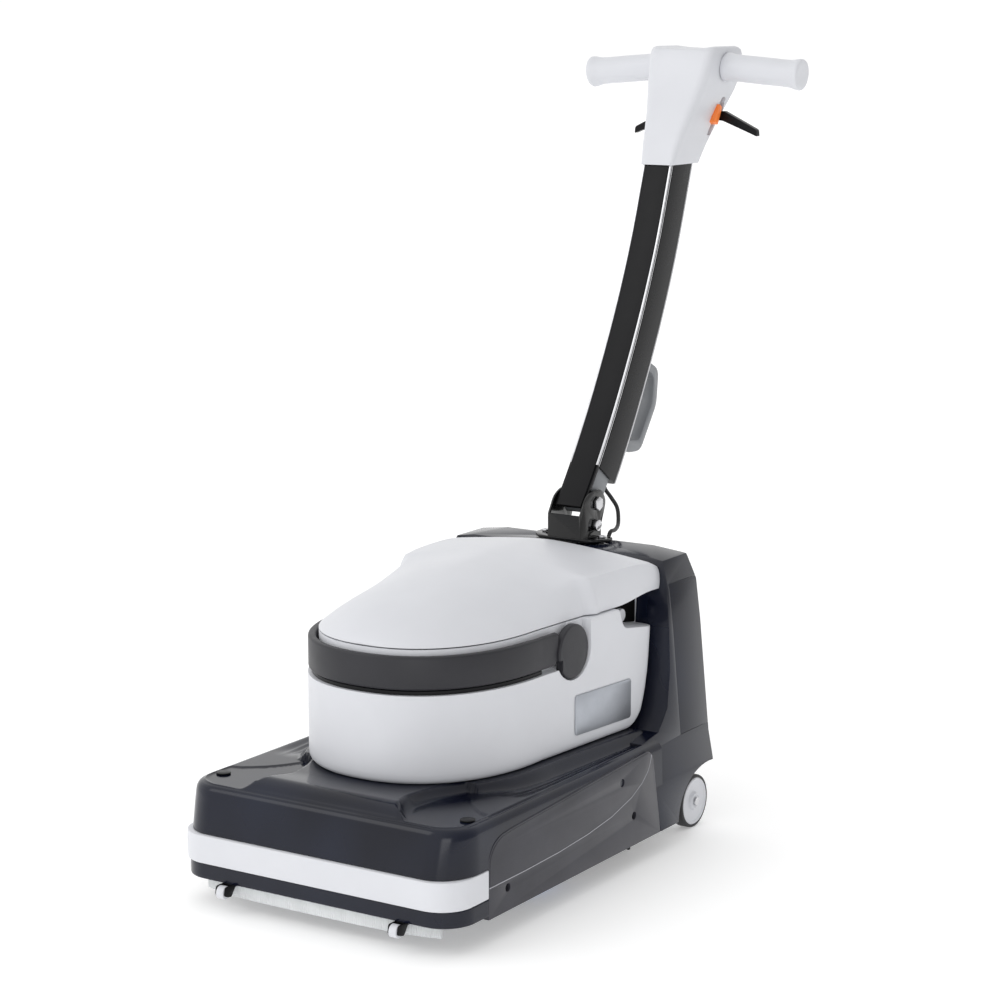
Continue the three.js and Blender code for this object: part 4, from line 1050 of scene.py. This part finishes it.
# ---------- details that the CAD leaves out, and the finer cable and blade ----------
BRACKET_TOP = 398
SCREW_PLACES = [(-46, 556), (46, 556)]
CABLE_ROUTE = [(8, 624.5, 460), (10, 626, 452), (16, 632, 440), (26, 632, 426), (36, 618, 408)]
CABLE_ROUTE += [(43, 598, 402.5), (45, 582, 402.5), (45, 576, 396)]


def bracket_screws():
    """Pan-head screws with a hexagon socket on the base of the bracket."""
    for x, y in SCREW_PLACES:
        head = disc("bracket_screw", "z", (x, y), 5.4, BRACKET_TOP + 0.1, BRACKET_TOP + 3.2, 32)
        cut(head, [disc("socket", "z", (x, y), 2.2, BRACKET_TOP + 1.6, BRACKET_TOP + 5, 6)])
        trim(softened(head, 0.6, 3, 40), "chassis", "steel")


def groove_shade_band():
    """A black band filling the tank's groove under the bail: painted shade for the dark gap there.
    """
    low, high = TANK_GROOVE + 0.3, BAIL_Z[0] - 0.8
    deep, shallow, face, rear = 15.5, 5.5, 4.5, 246
    section = [(deep, low), (shallow, low), (face, low + 1)]
    section += [(face, high - 1), (shallow, high), (deep, high)]
    rings = []
    for inset, z in section:
        rings.append([at(x, y, z) for x, y in front_half(tank_plan(inset, 480, 26, 56), rear)])
    rings.append(rings[0])
    shade_band = loft("groove_shade_band", rings, closed=False, caps=False)
    fill_ends(shade_band)
    trim(shaded(shade_band, 40), "tank", "black_plastic")


def handle_cable():
    """The cable from the column's foot, as a bowed tube."""
    cable = tube("cable_bow", path_points(CABLE_ROUTE), 2.9, 14)
    shaded(cable, 50)
    cable.data.materials.append(MATERIALS["cable_black"])
    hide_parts("handle_cable")
    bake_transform(cable)


def pocket_details():
    """A near-black sheet at the back of the tank's rear pockets, which is painted shade, with a
    small white cap.
    """
    outline = rounded([(396, 346), (410, 316, 8), (486, 304, 4), (486, 346)])
    cap_place, cap_r = (440, 322), 9
    for side in (-1, 1):
        ends = sorted((side * (POCKET_DEPTH + 0.3), side * (POCKET_DEPTH + 2)))
        # Painted shade: a near-black sheet at each pocket's back.
        trim(plate("pocket_shade", "x", outline, *ends), "tank", "black_plastic", PAINTED_SHADE_BLACK)
        ends = sorted((side * (POCKET_DEPTH + 2.1), side * (POCKET_DEPTH + 9)))
        cap = softened(disc("pocket_cap", "x", cap_place, cap_r, *ends, 32), 1.0, 3)
        trim(cap, "tank", "shell_grey")


def column_knob():
    """A small knob on the column's left side."""
    share, depth, radius, reach = 0.25, 4, 5, 6
    place, along = column_share(share)
    centre = place + Vector((along.y, -along.x)) * depth
    ends = (-COLUMN_HALF - reach, -COLUMN_HALF - 0.2)
    knob = disc("column_knob", "x", (centre.x, centre.y), radius, *ends, 24)
    trim(softened(knob, 0.8, 3), "handle", "black_plastic")


BLADE_Y, BLADE_HALF, BLADE_BOW, BLADE_THICK = -60.4, 179, 14, 5
BLADE_Z = (19.5, 37.8)
RIB_PITCH = 3.3
RIB_PROFILE = (0.0, 0.45, 0.9, 0.45)  # how far four points per rib lie in from the face


def squeegee_blade():
    """The ribbed blade, bowed forwards in the middle, with room for the roller forks."""
    count = round(2 * BLADE_HALF / RIB_PITCH)
    front, back = [], []
    steps = len(RIB_PROFILE) * count
    for i in range(steps + 1):
        x = -BLADE_HALF + 2 * BLADE_HALF * i / steps
        y = BLADE_Y + BLADE_BOW * (x / BLADE_HALF) ** 4
        front.append((x, y + RIB_PROFILE[i % len(RIB_PROFILE)]))
        back.append((x, y + BLADE_THICK))
    blade = plate("blade_ribbed", "z", front + back[::-1], *BLADE_Z)
    rooms = [box("fork_room", ends, (-80, -30), (33.1, 40)) for ends in ((124, 141), (-141, -124))]
    cut(blade, rooms)
    finished(shaded(blade, 20), "squeegee_blade")


# ---------- everything else from the CAD ----------
def small_parts():
    """The smaller CAD pieces, with the width in millimetres that their edges are rounded by."""
    edges = {
        "pivot_bracket": 0.7, "pivot_bolt": 0.5, "lock_plunger": 0.5, "column_foot": 0.8,
        "rear_grip": 2.2, "squeegee_carrier": 0.4, "roller_left": 0.5, "roller_right": 0.5,
        "rear_squeegee_carrier": 0.5, "rear_squeegee_blade": 0.3, "deck_plug_left": 0.4,
        "deck_plug_right": 0.4, "wheel_axle": 0.3, "chassis_frame": 0.4, "battery_pack": 0.8,
        "brush_core": 0.4,
    }
    for node, width in edges.items():
        finished(refined(node, width), node)


def cad_nodes():
    """The finish of every CAD node, also of those that finer pieces replace."""
    for name, node in frame["nodes"].items():
        node.data.materials.clear()
        node.data.materials.append(MATERIALS[SLOT_OF[name]])


make_camera()
make_floor()
make_light()
cad_nodes()
front_deck()
bumper_and_strip()
side_skirts()
rear_housing()
wheels()
recovery_tank()
label_plate()
tank_lid()
carry_bail()
column_pieces()
handle_head()
for side, name in ((-1, "left"), (1, "right")):
    grip(side, name)
key_and_levers()
small_parts()
bracket_screws()
groove_shade_band()
handle_cable()
pocket_details()
column_knob()
squeegee_blade()
